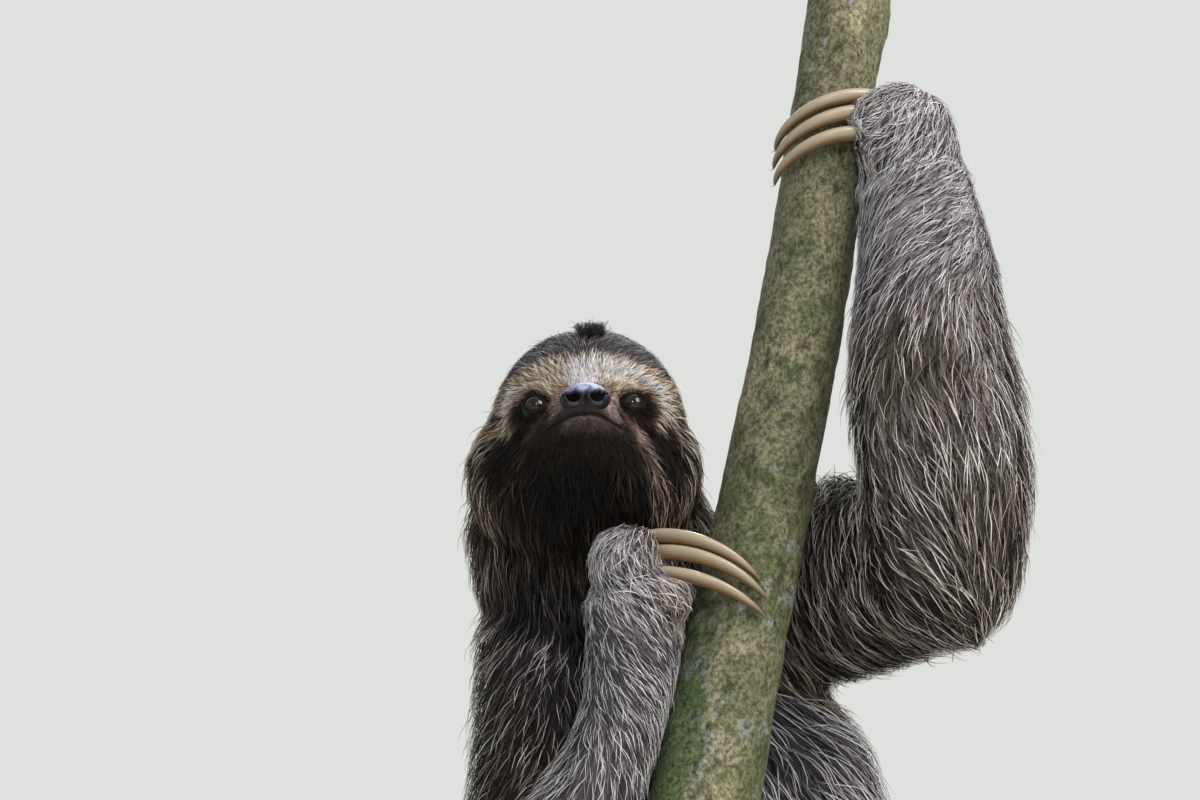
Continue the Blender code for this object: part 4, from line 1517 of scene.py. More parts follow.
@dataclass
class Nose:
    """The bare nose pad: two rounded wings, a groove between them and a nostril in each."""

    head: HeadFrame
    rows: int = 100
    columns: int = 140
    place: Spot = (0.0006, 0.0452, -0.0060)
    lobes: tuple[Lobe, ...] = (
        Lobe((0.0, 0.0, 0.0010), (0.0116, 0.0060, 0.0056), 0.0),
        Lobe((0.0, -0.0004, -0.0030), (0.0072, 0.0054, 0.0040), 0.0),
        Lobe((0.0, 0.0002, 0.0026), (0.0098, 0.0060, 0.0062), 0.0),
        Lobe((0.0052, 0.0012, 0.0002), (0.0058, 0.0052, 0.0050), 0.0),
        Lobe((-0.0052, 0.0012, 0.0002), (0.0058, 0.0052, 0.0050), 0.0),
    )
    blend: float = 0.0016
    skin: str = "#15151a"
    # The pale top is a painted sheen, the rim a painted highlight under each nostril and the pit painted
    # shade in them.
    pale: str = "#9a9dc2"
    rim: str = "#4b4a50"
    pit: str = "#040304"

    def build(self, finish: Material) -> None:
        """Makes the pad.

        Its reach in each direction is the lobes' own, pinched along the middle and drawn in
        straight back at two comma-shaped nostrils whose slits run out, each with a raised rim.
        """
        ways, _, _ = along_gaze(self.rows, self.columns, np.array([0.0, 1.0, 0.0]), 1.25)
        ways = np.concatenate([ways, [[0.0, 1.0, 0.0], [0.0, -1.0, 0.0]]])
        reach = reach_of(self.lobes, ways, self.blend)
        local = ways * reach[:, None] / MM
        x, y, z = local.T
        side = np.abs(x)
        front = smooth(y, 0.5, 3.0)
        groove = bell(x, 0.0, 0.75) * smooth(z, 4.5, 0.0) * front
        pit_reach = np.minimum(
            np.hypot((side - 5.3) / 3.3, (z - 0.5) / 2.9),
            np.hypot((side - 8.0) / 3.2, (z - 1.9 - 0.25 * (side - 8.0)) / 1.4),
        )
        pit = smooth(pit_reach, 1.02, 0.7) * front
        lip = bell(pit_reach, 1.25, 0.25) * front
        wing = bell(side, 9.2, 1.2) * bell(z, -1.2, 3.0) * front
        reach = reach + MM * (-0.9 * groove + 0.35 * lip + 0.25 * wing)
        drawn_in = np.array([[0.0, -4.4 * MM, 0.0]]) * pit[:, None]
        placed = self.head.world(ways * reach[:, None] + drawn_in + np.array(self.place))
        made = with_caps(placed[:-2], self.rows, self.columns, placed[-2], placed[-1])
        # Painted sheen: the pad's top is made pale and cool.
        top = smooth(z, 1.2, 4.8) * smooth(fractal(local, 2.2, 5), -1.2, 0.5)
        # Painted highlights: pale crescents under the nostrils.
        low = lip * smooth(z, -1.2, -2.4) * smooth(np.abs(side - 5.3), 3.0, 1.5)
        tone = mixed(mixed(linear(self.skin), self.pale, top), self.rim, 0.6 * low)
        # Painted shade: the nostrils' pits are made nearly black.
        made.tones = mixed(tone, self.pit, pit)
        piece = make_object("nose_pad", outward(made), finish)
        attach(piece, BODY)
        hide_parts("nose")
        report(piece)


@dataclass
class Claws:
    """The long horn claws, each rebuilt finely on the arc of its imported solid."""

    rings: int = 34
    sides: int = 20
    half_width_mm: float = 3.4
    half_depth_mm: float = 4.9
    taper: tuple[float, float] = (1.7, 0.62)
    root_pale: str = "#8e7960"
    # The back is made paler and the belly darker: partly the horn's own browns, partly painted light and
    # shade.
    back: str = "#9d917a"
    flank: str = "#795b3b"
    belly: str = "#2f1f15"
    tip: str = "#543c27"

    def arc(self, node: str) -> tuple[Array, Array, Array, float]:
        """Reads a packed claw: its root, its tip, the way it bulges and the arc's height.

        The tip is a lone point, so of the two points furthest apart it is the lonelier.

        Args:
            node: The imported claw.

        Returns:
            The root, the tip, the unit way of the bulge, and the arc's height over its chord.
        """
        points = welded(arrays_of(frame["nodes"][node])).points
        apart = np.linalg.norm(points[:, None] - points[None], axis=2)
        one, two = np.unravel_index(apart.argmax(), apart.shape)
        nearest = np.sort(apart, axis=1)[:, 1]
        tip = points[one] if nearest[one] > nearest[two] else points[two]
        order = np.argsort(np.linalg.norm(points - tip, axis=1))
        root = points[order[-6:]].mean(axis=0)
        chord = tip - root
        share = (points - root) @ chord / (chord @ chord)
        halfway = points[(share > 0.36) & (share < 0.64)].mean(axis=0)
        offset = halfway - root - chord * ((halfway - root) @ chord) / (chord @ chord)
        return root, tip, unit(offset), float(np.linalg.norm(offset))

    def surface(self, node: str) -> tuple[Surface, Array]:
        """One claw: an oval ring carried along a circular arc, shrinking to the tip.

        At share t of the arc the ring's size is (1 - t^a)^b. Its back is round, its sides are
        slightly flat and its underside has a shallow channel.

        Args:
            node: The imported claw.

        Returns:
            The surface, and for each vertex its place along and round the claw in metres.
        """
        root, tip, out, sagitta = self.arc(node)
        chord = tip - root
        length = np.linalg.norm(chord)
        radius = (length**2 / 4.0 + sagitta**2) / (2.0 * sagitta)
        half_angle = math.asin(length / 2.0 / radius)
        middle = (root + tip) / 2.0 + out * (sagitta - radius)
        way = chord / length
        side = np.cross(way, out)
        t = 1.0 - (1.0 - np.arange(self.rings) / self.rings) ** 1.35
        start = -0.18
        angle = half_angle * (2.0 * (start + (1.0 - start) * t) - 1.0)
        ray = out * np.cos(angle)[:, None] + way * np.sin(angle)[:, None]
        size = (1.0 - np.maximum(start + (1.0 - start) * t, 0.0) ** self.taper[0]) ** self.taper[1]
        turn = 2.0 * np.pi * np.arange(self.sides) / self.sides
        wide = self.half_width_mm * MM * np.cos(turn) * (1.0 - 0.10 * np.abs(np.sin(turn)) ** 3)
        deep = self.half_depth_mm * MM * np.sin(turn)
        deep = np.where(np.sin(turn) < 0.0, deep * (0.86 - 0.16 * np.sin(turn) ** 8), deep)
        centre = middle + ray * (radius - self.half_depth_mm * MM * t / 2.0)[:, None]
        loops = centre[:, None] + size[:, None, None] * (
            side * wide[None, :, None] + ray[:, None] * deep[None, :, None]
        )
        made = with_caps(loops.reshape(-1, 3), self.rings, self.sides, centre[0], tip)
        across = np.tile(np.sin(turn), self.rings)
        along = np.repeat(t, self.sides)
        # Partly painted shade and light: a dark underside and a pale back, over the horn's own browns.
        tone = mixed(linear(self.belly), self.flank, smooth(across, -0.8, -0.1))
        tone = mixed(tone, self.back, smooth(across, 0.15, 0.95))
        tone = mixed(tone, self.root_pale, smooth(along, 0.22, 0.02) * 0.7)
        tone = mixed(tone, self.tip, smooth(along, 0.78, 1.0) * 0.75)
        made.tones = np.concatenate([tone, [linear(self.root_pale), linear(self.tip)]])
        grain = np.stack([along * length * 0.10, np.tile(turn, self.rings) * 0.0035], axis=1)
        return outward(made), np.concatenate([grain, [[0.0, 0.0], [length * 0.1, 0.0]]])

    def build(self, finish: Material) -> None:
        """Makes every claw."""
        for name in CLAW_NODES:
            made, grain = self.surface(name)
            piece = make_object(name + "_horn", made, finish)
            layer = piece.data.uv_layers.new(name="grain")
            layer.data.foreach_set("uv", grain[made.faces].astype(np.float32).ravel())
            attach(piece, BODY)
            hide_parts(name)
        LOG.info("claws: %d", len(CLAW_NODES))


# ---------------------------------------------------------------- perch and stand
@dataclass(frozen=True)
class Knot:
    """A healed branch scar: its height, its turn round the trunk, its radius and how far it stands out."""

    height: float
    turn: float
    radius_mm: float
    rise_mm: float


@dataclass
class Perch:
    """The cut length of young trunk, with lumps, knots, moss and lichen."""

    log: LogShape
    columns: int = 156
    rows: int = 330
    end_rings: int = 9
    lump_mm: float = 0.9
    bark: str = "#7b7962"
    bark_pale: str = "#aba58f"
    bark_dark: str = "#36321f"
    moss: str = "#4c5c31"
    lichen: str = "#8f94a0"
    cushion: str = "#4f6b3c"
    wood: str = "#b3986b"
    wood_dark: str = "#8c6f45"
    knots: tuple[Knot, ...] = (
        Knot(0.775, 0.15, 9.0, 2.2),
        Knot(0.655, -2.2, 8.0, 1.1),
        Knot(0.560, -1.1, 6.0, 0.9),
        Knot(0.430, -2.7, 9.0, 1.6),
        Knot(0.350, 0.4, 10.0, 1.6),
        Knot(0.245, 1.9, 9.0, 1.4),
        Knot(0.150, -0.6, 10.0, 1.6),
    )

    def bark_points(self) -> tuple[Array, Array, Array]:
        """The bark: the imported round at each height, with lumps and knots.

        Returns:
            The points row by row, each one's distance from the nearest knot's middle as a share
            of the knot's radius, and how far the lumps lift it, from -1 to 1.
        """
        low, high = self.log.heights[0], self.log.heights[-1]
        height, turn = round_grid(np.linspace(low, high, self.rows), self.columns)
        middle, radius = self.log.at(height)
        flat = on_circle(turn)
        place = np.concatenate([middle + flat * radius[:, None], height[:, None]], axis=1)
        lumps = fractal(place * [1.0, 1.0, 0.55], 0.017, 201, 4)
        fine = fractal(place * [1.0, 1.0, 0.8], 0.0035, 211, 2)
        out = (self.lump_mm * lumps + 0.22 * fine) * MM
        nearest = np.full(len(place), np.inf)
        for knot in self.knots:
            around = (turn - knot.turn + np.pi) % (2.0 * np.pi) - np.pi
            share = np.hypot(around * radius * 1.1, height - knot.height) / (knot.radius_mm * MM)
            rise = bell(share, 0.0, 1.0) * (1.0 + 0.10 * np.cos(9.0 * share))
            out += (rise - 0.55 * bell(share, 0.0, 0.35)) * knot.rise_mm * MM
            nearest = np.minimum(nearest, share)
        edge = smooth(np.minimum(height - low, high - height), 0.0, 0.004)
        out = np.minimum(out * edge - 0.0006 * (1.0 - edge), 0.0024)
        place[:, :2] += flat * out[:, None]
        return place, nearest, lumps

    def tones(self, place: Array, knots: Array, lumps: Array) -> Array:
        """Beige and grey bark, darker in its hollows, mossy below and spotted with lichen.

        Args:
            place: The bark's points.
            knots: Each one's distance from the nearest knot, as a share of the knot's radius.
            lumps: How far the lumps lift it, from -1 to 1.

        Returns:
            Linear colours.
        """
        broad = fractal(place * [1.0, 1.0, 0.7], 0.040, 221)
        small = fractal(place, 0.009, 231, 4)
        tiny = fractal(place, 0.0028, 236, 2)
        streak = fractal(place * [1.0, 1.0, 0.8], 0.008, 241)
        pale = smooth(broad + 0.6 * small + 0.4 * tiny, -0.2, 0.9)
        tone = mixed(linear(self.bark), self.bark_pale, pale)
        hollow = small + 0.5 * tiny - 0.4 * lumps
        tone = mixed(tone, self.bark_dark, 0.8 * smooth(hollow, 0.15, 1.0))
        green = streak + 0.6 * tiny + 0.6 * smooth(place[:, 2], 0.80, 0.35) - 0.3 * broad
        tone = mixed(tone, self.moss, 0.75 * smooth(green, 0.15, 1.1))
        spots = noise(place, 0.0060, 251) + 0.45 * noise(place, 0.0020, 252)
        spots = spots * smooth(fractal(place, 0.05, 261), -0.5, 0.5)
        tone = mixed(tone, self.lichen, 0.75 * smooth(spots, 0.40, 0.58))
        middle, _ = self.log.at(place[:, 2])
        around = np.arctan2(place[:, 1] - middle[:, 1], place[:, 0] - middle[:, 0])
        patch = np.hypot((around + 2.35) / 0.55, (place[:, 2] - 0.415) / 0.055) + 0.45 * streak
        tone = mixed(tone, self.cushion, 0.8 * smooth(patch, 1.05, 0.85))
        edge = bell(patch, 1.05, 0.10) * smooth(small, -0.4, 0.3)
        tone = mixed(tone, self.lichen, 0.7 * edge)
        specks = 1.0 - 0.6 * smooth(noise(place, 0.0022, 281), 0.45, 0.7)
        return tone * (specks * (1.0 - 0.45 * bell(knots, 0.45, 0.22)))[:, None]

    def build(self, finish: Material) -> None:
        """Makes the trunk and its two sawn ends, with growth rings round the pith."""
        place, knots, lumps = self.bark_points()
        tone = self.tones(place, knots, lumps)
        columns = self.columns
        shares = np.linspace(0.965, 0.06, self.end_rings)

        def sawn(edge: Array, order: int) -> tuple[Array, Array, Array]:
            """The rings of one sawn face, from the bark's edge or to it, their tones and the pith."""
            middle = edge.mean(axis=0)
            body = middle + (edge - middle) * shares[::order, None, None]
            flat = body.reshape(-1, 3)
            age = np.linalg.norm((flat - middle)[:, :2], axis=1) / MM + 0.5 * noise(flat, 0.008, 271)
            band = 0.5 + 0.5 * np.sin(age * 2.6)
            return flat, mixed(linear(self.wood), self.wood_dark, band), middle

        low_rings, low_tone, low_middle = sawn(place[:columns], -1)
        high_rings, high_tone, high_middle = sawn(place[-columns:], 1)
        rows = np.concatenate([low_rings, place, high_rings])
        made = with_caps(rows, self.rows + 2 * self.end_rings, columns, low_middle, high_middle)
        made.tones = np.concatenate([low_tone, tone, high_tone, [linear(self.wood_dark)] * 2])
        piece = make_object("perch_bark", outward(made), finish)
        piece.data.set_sharp_from_angle(angle=math.radians(60.0))
        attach(piece, BODY)
        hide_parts("perch")
        report(piece)


@dataclass
class Stand:
    """The plain display stand: a lacquered plate with eased edges and two steel rods with collars."""

    corner: float = 0.030
    corner_steps: int = 14
    edge: float = 0.004
    edge_steps: int = 6
    rod_sides: int = 48
    collar_radius: float = 0.0115
    collar_height: float = 0.003

    def plate(self) -> Surface:
        """The plate: a rounded rectangle, drawn in over a quarter round at its top edge."""
        low, high = box_of("stand_base")
        middle = (low + high) / 2.0
        half = (high - low)[:2] / 2.0
        quarter = np.linspace(0.0, np.pi / 2.0, self.corner_steps)
        angle = np.concatenate([quarter + k * np.pi / 2.0 for k in range(4)])
        signs = np.repeat([[1, 1], [-1, 1], [-1, -1], [1, -1]], self.corner_steps, axis=0)
        bend = np.linspace(0.0, np.pi / 2.0, self.edge_steps)
        inset = np.concatenate([[self.edge / 4.0, 0.0], self.edge * (1.0 - np.cos(bend))])
        height = np.concatenate([[0.0, self.edge / 4.0], high[2] - self.edge * (1.0 - np.sin(bend))])
        inset = np.concatenate([inset, [0.010, 0.0115, 0.013, 0.0145]])
        height = np.concatenate([height, high[2] - np.array([0.0, 0.0008, 0.0008, 0.0])])
        flat = signs * (half - self.corner) + on_circle(angle) * (self.corner - inset)[:, None, None]
        return self.stacked(flat + middle[:2], height, middle, (0.0, high[2]))

    def stacked(self, flat: Array, height: Array, middle: Array, ends: tuple[float, float]) -> Surface:
        """Closes loops stacked on one another.

        Args:
            flat: Each loop's points across and back.
            height: Each loop's height.
            middle: The middle that both poles share.
            ends: The poles' heights.

        Returns:
            The closed surface.
        """
        tall = np.broadcast_to(height[:, None, None], (*flat.shape[:2], 1))
        loops = np.concatenate([flat, tall], axis=2).reshape(-1, 3)
        poles = [np.array([middle[0], middle[1], level]) for level in ends]
        return outward(with_caps(loops, *flat.shape[:2], *poles))

    def rod(self, node: str) -> Surface:
        """A rod turned on its own axis, with a low collar where it enters the plate.

        Args:
            node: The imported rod.

        Returns:
            The closed surface.
        """
        low, high = box_of(node)
        middle = (low + high) / 2.0
        radius = (high - low)[0] / 2.0
        ease = 0.0006
        profile = [
            (self.collar_radius, low[2]),
            (self.collar_radius, low[2] + self.collar_height - ease),
            (self.collar_radius - ease, low[2] + self.collar_height),
            (radius + ease, low[2] + self.collar_height),
            (radius, low[2] + self.collar_height + ease),
            (radius, high[2] - ease),
            (radius - ease, high[2]),
        ]
        reach, height = np.array(profile).T
        turn = 2.0 * np.pi * np.arange(self.rod_sides) / self.rod_sides
        flat = on_circle(turn) * reach[:, None, None] + middle[:2]
        return self.stacked(flat, height, middle, (low[2], high[2]))

    def build(self, wood: Material, steel: Material) -> None:
        """Makes the plate and both rods."""
        pieces = [("stand_plate", self.plate(), wood, "stand_base", "stand_wood")]
        for side in ("left", "right"):
            node = f"stand_rod_{side}"
            pieces.append((node + "_turned", self.rod(node), steel, node, "stand_steel"))
        for name, made, finish, node, slot in pieces:
            piece = make_object(name, made, finish)
            piece.data.set_sharp_from_angle(angle=math.radians(40.0))
            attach(piece, BODY)
            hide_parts(node)
            report(piece)


# ---------------------------------------------------------------- the coat
@dataclass
class Lie:
    """The lie of the coat: which way the hair runs at each place of the skin, and how long it is."""

    skin: Skin
    nose_point: Spot = (0.0, 0.043, -0.004)
    wave_mm: float = 22.0
    wave: float = 0.35
    rounds: int = 14

    def along(self, start: str, end: str, share: float, fall: float) -> Array:
        """A way made of the line from one solid to another and of the fall of gravity."""
        return share * unit(middle_of(end) - middle_of(start)) - fall * UP

    def ways(self) -> Array:
        """The way of the hair before it is laid flat and smoothed, for each vertex.

        On arms and legs it runs from the paw up the limb's own length and falls, on the trunk from
        the breast round both flanks to the back, and on the head away from the nose.
        """
        skin = self.skin
        points = skin.surface.points
        way = np.zeros_like(points)
        fore = middle_of("arm_right_fore")
        palm = middle_of("hand_right")
        fan = np.clip((points[:, 0] - fore[0]) / 0.02, -1.0, 1.0)
        wrist = smooth(points[:, 2], fore[2] + 0.005, fore[2] + 0.035)
        sweep = (1.2 * wrist + 0.45 * fan * (1.0 - wrist))[:, None] * LEFT
        heel = smooth(points[:, 2], palm[2] + 0.004, palm[2] - 0.010)[:, None] * np.array([1.9, 0.0, 0.6])
        right_hand = self.along("hand_right", "arm_right_fore", 0.9, 0.1)
        rules = {
            Part.NECK: -0.9 * UP + 0.35 * BACK,
            Part.CHEST: -0.6 * UP + 0.8 * BACK,
            Part.BELLY: -0.42 * UP + 0.9 * BACK,
            Part.TAIL: -0.7 * UP + 0.6 * BACK,
            Part.ARM_LEFT_UPPER: self.along("arm_left_upper", "arm_left_fore", 0.15, 1.0),
            Part.ARM_LEFT_FORE: self.along("hand_left", "arm_left_fore", 0.5, 0.6) + self.swirl(points),
            Part.ARM_RIGHT_UPPER: -1.0 * UP - 0.12 * LEFT,
            Part.ARM_RIGHT_FORE: self.along("hand_right", "arm_right_fore", 0.8, 0.2) + sweep,
            Part.HAND_LEFT: self.along("hand_left", "arm_left_fore", 0.9, 0.1) - 0.75 * LEFT,
            Part.HAND_RIGHT: right_hand + self.off_claws(points) + heel,
        }
        for side in ("left", "right"):
            thigh, shin, foot = f"leg_{side}_thigh", f"leg_{side}_shin", f"foot_{side}"
            rules[Part[thigh.upper()]] = self.along(shin, thigh, 0.6, 0.5)
            rules[Part[shin.upper()]] = self.along(foot, shin, 0.8, 0.3)
            rules[Part[foot.upper()]] = self.along(foot, shin, 1.0, 0.0)
        for part, rule in rules.items():
            at = skin.labels == part.label
            way[at] = (rule + np.zeros_like(points))[at]
        way += self.over_claws(points)
        at = on(skin.labels, Part.HEAD)
        way[at] = self.on_head(points[at])
        waves = np.stack([fractal(points, self.wave_mm * MM, 51 + i) for i in range(3)], axis=1)
        calm = np.where(at, 0.3, 1.0)[:, None]
        return way + self.wave * calm * waves

    def off_claws(self, points: Array) -> Array:
        """The way from the middle of the right hand's claws to each place."""
        middle = np.mean([middle_of(f"claw_hand_right_{k}") for k in (1, 2, 3)], axis=0)
        return 0.7 * unit(points - middle)

    def over_claws(self, points: Array) -> Array:
        """The way of the short tufts over the claws' roots: along each claw, and nothing elsewhere.

        Args:
            points: Places in the model's axes.

        Returns:
            One way for each place.
        """
        total = np.zeros_like(points)
        for node in CLAW_NODES:
            root, tip, out, sagitta = Claws().arc(node)
            chord = tip - root
            half_angle = 2.0 * math.atan(2.0 * sagitta / np.linalg.norm(chord))
            start = unit(chord) * math.cos(half_angle) + out * math.sin(half_angle)
            near = smooth(np.linalg.norm(points - root - 0.010 * start, axis=1), 0.020, 0.009)
            total += 5.0 * near[:, None] * start
        return total

    def swirl(self, points: Array) -> Array:
        """How the left forearm's hair leans across it.

        It sweeps round the wrist towards the trunk, falls nearly straight half way down, and near
        the elbow its inner side leans outward, so that the two sides meet.

        Args:
            points: Places in the model's axes.

        Returns:
            What is added to the way at each place.
        """
        low, high = box_of("arm_left_fore")
        share = (points[:, 2] - low[2]) / (high[2] - low[2])
        middle = low[0] + (0.55 - 0.22 * share) * (high[0] - low[0])
        across = (points[:, 0] - middle) / (0.4 * (high[0] - low[0]))
        lean = -1.5 * smooth(share, 0.6, 0.88) - 1.0 * smooth(share, 0.85, 1.0)
        lean -= 0.3 * smooth(share, 0.3, 0.6)
        inner = smooth(across, 0.35, -0.4)
        lean += smooth(share, 0.52, 0.2) * (1.15 * inner - 0.25 * (1.0 - inner))
        lean += 0.5 * smooth(share, 0.16, 0.04)
        return lean[:, None] * LEFT

    def on_head(self, points: Array) -> Array:
        """Away from the nose, round the eyes, parted on the crown, and down over the cheeks.

        Args:
            points: Places in the model's axes.

        Returns:
            One way for each place, in the model's axes.
        """
        head = self.skin.head
        local = head.local(points)
        way = unit(local - np.array(self.nose_point))
        x, y, z = local.T / MM
        down = smooth(z, 12.0, -12.0) * 0.9 + 0.5 * smooth(y, 5.0, -15.0)
        way[:, 2] -= down
        crown = smooth(z, 20.0, 34.0)
        way[:, 0] += 0.9 * crown * np.tanh(x / 7.0)
        way[:, 1] -= 0.5 * crown
        face = FaceShape(head)
        away = (local - np.array(face.eye_place) * fold(local)) * [1.0, 0.2, 1.0]
        apart = np.linalg.norm(away, axis=1)
        way += 1.6 * unit(away) * smooth(apart, 0.011, 0.005)[:, None]
        return way @ head.axes

    def lengths(self) -> Array:
        """The hair's length at each vertex: a fraction of it on the muzzle, the most on the flanks."""
        skin = self.skin
        length = np.array([part.value[2] for part in Part])[skin.labels] * MM
        local = skin.head.local(skin.surface.points)
        x, y, z = local.T / MM
        apart = np.linalg.norm(local - np.array(self.nose_point), axis=1) / MM
        short = 2.0 + 4.0 * smooth(apart, 11.0, 28.0) + 3.5 * smooth(apart, 26.0, 40.0)
        short += 5.0 * smooth(z, 20.0, 36.0)
        long = 12.0 + 13.0 * smooth(z, 20.0, -15.0)
        share = np.maximum(smooth(y, 16.0, -2.0), smooth(z, -20.0, -32.0) * smooth(y, 34.0, 18.0))
        share = np.maximum(share, smooth(np.abs(x), 31.0, 41.0) * smooth(z, 8.0, -10.0))
        length *= 0.5 + 0.5 * smooth(paw_reach(skin.surface.points), 0.035, 0.15)
        length = np.where(on(skin.labels, *PAWS), 2.0 * length, length)
        length = np.where(on(skin.labels, Part.HEAD), (short + (long - short) * share) * MM, length)
        return smoothed(length, skin.surface.edges(), 12)

    def lay(self) -> tuple[Array, Array]:
        """Lays the ways flat on the skin and smooths them, and finds the lengths."""
        normals = self.skin.normals
        way = self.ways()
        edges = self.skin.surface.edges()
        for _ in range(2):
            way = unit(way - normals * dot(way, normals)[:, None])
            way = smoothed(way, edges, self.rounds)
        return unit(way - normals * dot(way, normals)[:, None]), self.lengths()


@dataclass(frozen=True)
class CoatPatch:
    """One piece of the coat, and how its locks are cut."""

    name: str
    parts: tuple[Part, ...]
    locks: int
    seed: int
    rings: int = 4
    clump_mm: float = 6.0
    clump: float = 0.40
    lift: tuple[float, float] = (0.45, 1.45)
    droop: float = 0.14
    wander: float = 0.30
    slot: str = "coat"
    face_only: bool | None = None
    upright: float = 0.0
    thick: float = 1.0


@dataclass
class Coat:
    """The coat: thin closed locks that lie along the body and overlap like thatch."""

    skin: Skin
    marks: Markings
    log: LogShape
    flow: Array
    lengths: Array
    skin_uvs: Array
    field: NearField | None = None
    patch_width: float = 0.003
    bleached: str = "#c9b7a2"
    sink_mm: float = 0.5
    tuft_mm: Spot = (4.0, 9.0, 41.0)
    tuft_radius_mm: float = 5.0
    face_limits_mm: Spot = (-30.0, 7.0, 41.0)
    nose_mm: Spot = (0.0, 45.5, -5.0)
    nose_half_mm: Spot = (13.5, 9.0, 8.6)
    lip_half_mm: float = 1.7
    lid_edge: float = 1.16
    lid_clear: float = 1.10
    stray_share: float = 0.07
    bleached_share: float = 0.22
    cool: Spot = (0.98, 0.97, 1.12)
    patches: tuple[CoatPatch, ...] = (
        CoatPatch("coat_face", FACE, 11500, 1, 3, 3.0, 0.35, (0.4, 1.15), 0.0, 0.25, "coat_face", True),
        CoatPatch("coat_ruff", FACE, 7500, 2, 4, 5.5, 0.5, (0.55, 1.3), slot="coat_face", face_only=False),
        CoatPatch("coat_neck", (Part.NECK,), 5400, 3, slot="coat_throat"),
        CoatPatch("coat_chest", (Part.CHEST,), 4200, 4, thick=1.25),
        CoatPatch("coat_belly", (Part.BELLY,), 7000, 5, thick=1.15),
        CoatPatch("coat_arm_left_upper", (Part.ARM_LEFT_UPPER,), 6000, 6),
        CoatPatch("coat_arm_left_fore", (Part.ARM_LEFT_FORE,), 8700, 7),
        CoatPatch("coat_arm_right", (Part.ARM_RIGHT_UPPER, Part.ARM_RIGHT_FORE), 7800, 8),
        CoatPatch("coat_hands", PAWS[:2], 8000, 9, 3, 4.0, 0.3, (0.6, 2.6), wander=0.45),
        CoatPatch("coat_thighs", (Part.LEG_LEFT_THIGH, Part.LEG_RIGHT_THIGH), 3800, 10, thick=1.4),
        CoatPatch("coat_shins", (Part.LEG_LEFT_SHIN, Part.LEG_RIGHT_SHIN, Part.TAIL), 3800, 11, thick=1.4),
        CoatPatch("coat_feet", PAWS[2:], 2400, 12, 3, 4.0, 0.45, (0.6, 2.0)),
        CoatPatch("coat_crown_tuft", FACE, 300, 13, 3, 5.0, 0.9, (0.8, 1.6), 0, 0.9, "coat_face", True, 0.7),
    )

    def widths(self, lengths: Array) -> Array:
        """A lock's width from its length: 0.32 mm on the face, 0.68 mm where it is longest."""
        return (0.32 + 0.36 * smooth(lengths, 0.003, 0.036)) * MM

    def roots(self, patch: CoatPatch, random: np.random.Generator) -> tuple[Array, Array]:
        """Spreads a patch's roots over the skin.

        The faces lie in a row, each as long as its area over a lock's own area. The roots take
        even steps along the row with a little chance, then a random place in their face. Eyes,
        nose, lips and the places that the perch covers have none.

        Args:
            patch: The piece of coat.
            random: Where chance comes from.

        Returns:
            Each root's face and its weights on the face's corners.
        """
        skin = self.skin
        faces = skin.surface.faces
        area = np.linalg.norm(skin.surface.crosses(), axis=1)
        length = self.lengths[faces[:, 0]]
        share = area / (self.widths(length) * length)
        share *= on(skin.labels[faces[:, 0]], *patch.parts)
        middle = skin.surface.points[faces].mean(axis=1)
        local = skin.head.local(middle) / MM
        side, ahead, height = np.abs(local[:, 0]), local[:, 1], local[:, 2]
        shape = FaceShape(skin.head)
        if patch.upright > 0.0:
            share *= np.linalg.norm(local - self.tuft_mm, axis=1) < self.tuft_radius_mm
        elif patch.face_only is not None:
            low, behind, wide = self.face_limits_mm
            share *= ((ahead > behind) & (height > low) & (side < wide)) == patch.face_only
        across, over, out = shape.eyes(local * MM)
        share *= ~((np.hypot(across, over) < self.lid_edge) & (out > -0.004))
        share *= np.linalg.norm((local - self.nose_mm) / self.nose_half_mm, axis=1) > 1.0
        lips = np.abs(height - shape.mouth_mm(side) - 0.5) < self.lip_half_mm
        share *= ~(lips & (side < 17.5) & (ahead > 28.0))
        share *= np.abs(self.log.keep_off(middle, 0.001) - middle).sum(axis=1) < 1e-9
        row = np.cumsum(share)
        steps = (np.arange(patch.locks) + random.random(patch.locks)) / patch.locks
        face = np.searchsorted(row, steps * row[-1]).clip(0, len(faces) - 1)
        one, two = np.sqrt(random.random(patch.locks)), random.random(patch.locks)
        return face, np.stack([1.0 - one, one * (1.0 - two), one * two], axis=1)

    def grow(self, patch: CoatPatch) -> Surface:
        """Grows every lock of a patch.

        From its root a lock takes steps along the lie of the coat at the skin nearest to it. Each
        step also climbs or dives towards the lock's own height over the skin, and turns a little
        by chance and in a wave. Then the locks of each small cell of skin draw together towards
        their tips.

        Args:
            patch: The piece of coat.

        Returns:
            All its locks as one surface, with tones and bake places.
        """
        random = np.random.default_rng(patch.seed)
        skin = self.skin
        face, weights = self.roots(patch, random)
        corners = skin.surface.faces[face]

        def pick(values: Array) -> Array:
            """A value at each root from those at its face's corners."""
            return np.einsum("nk,nk...->n...", weights, values[corners])

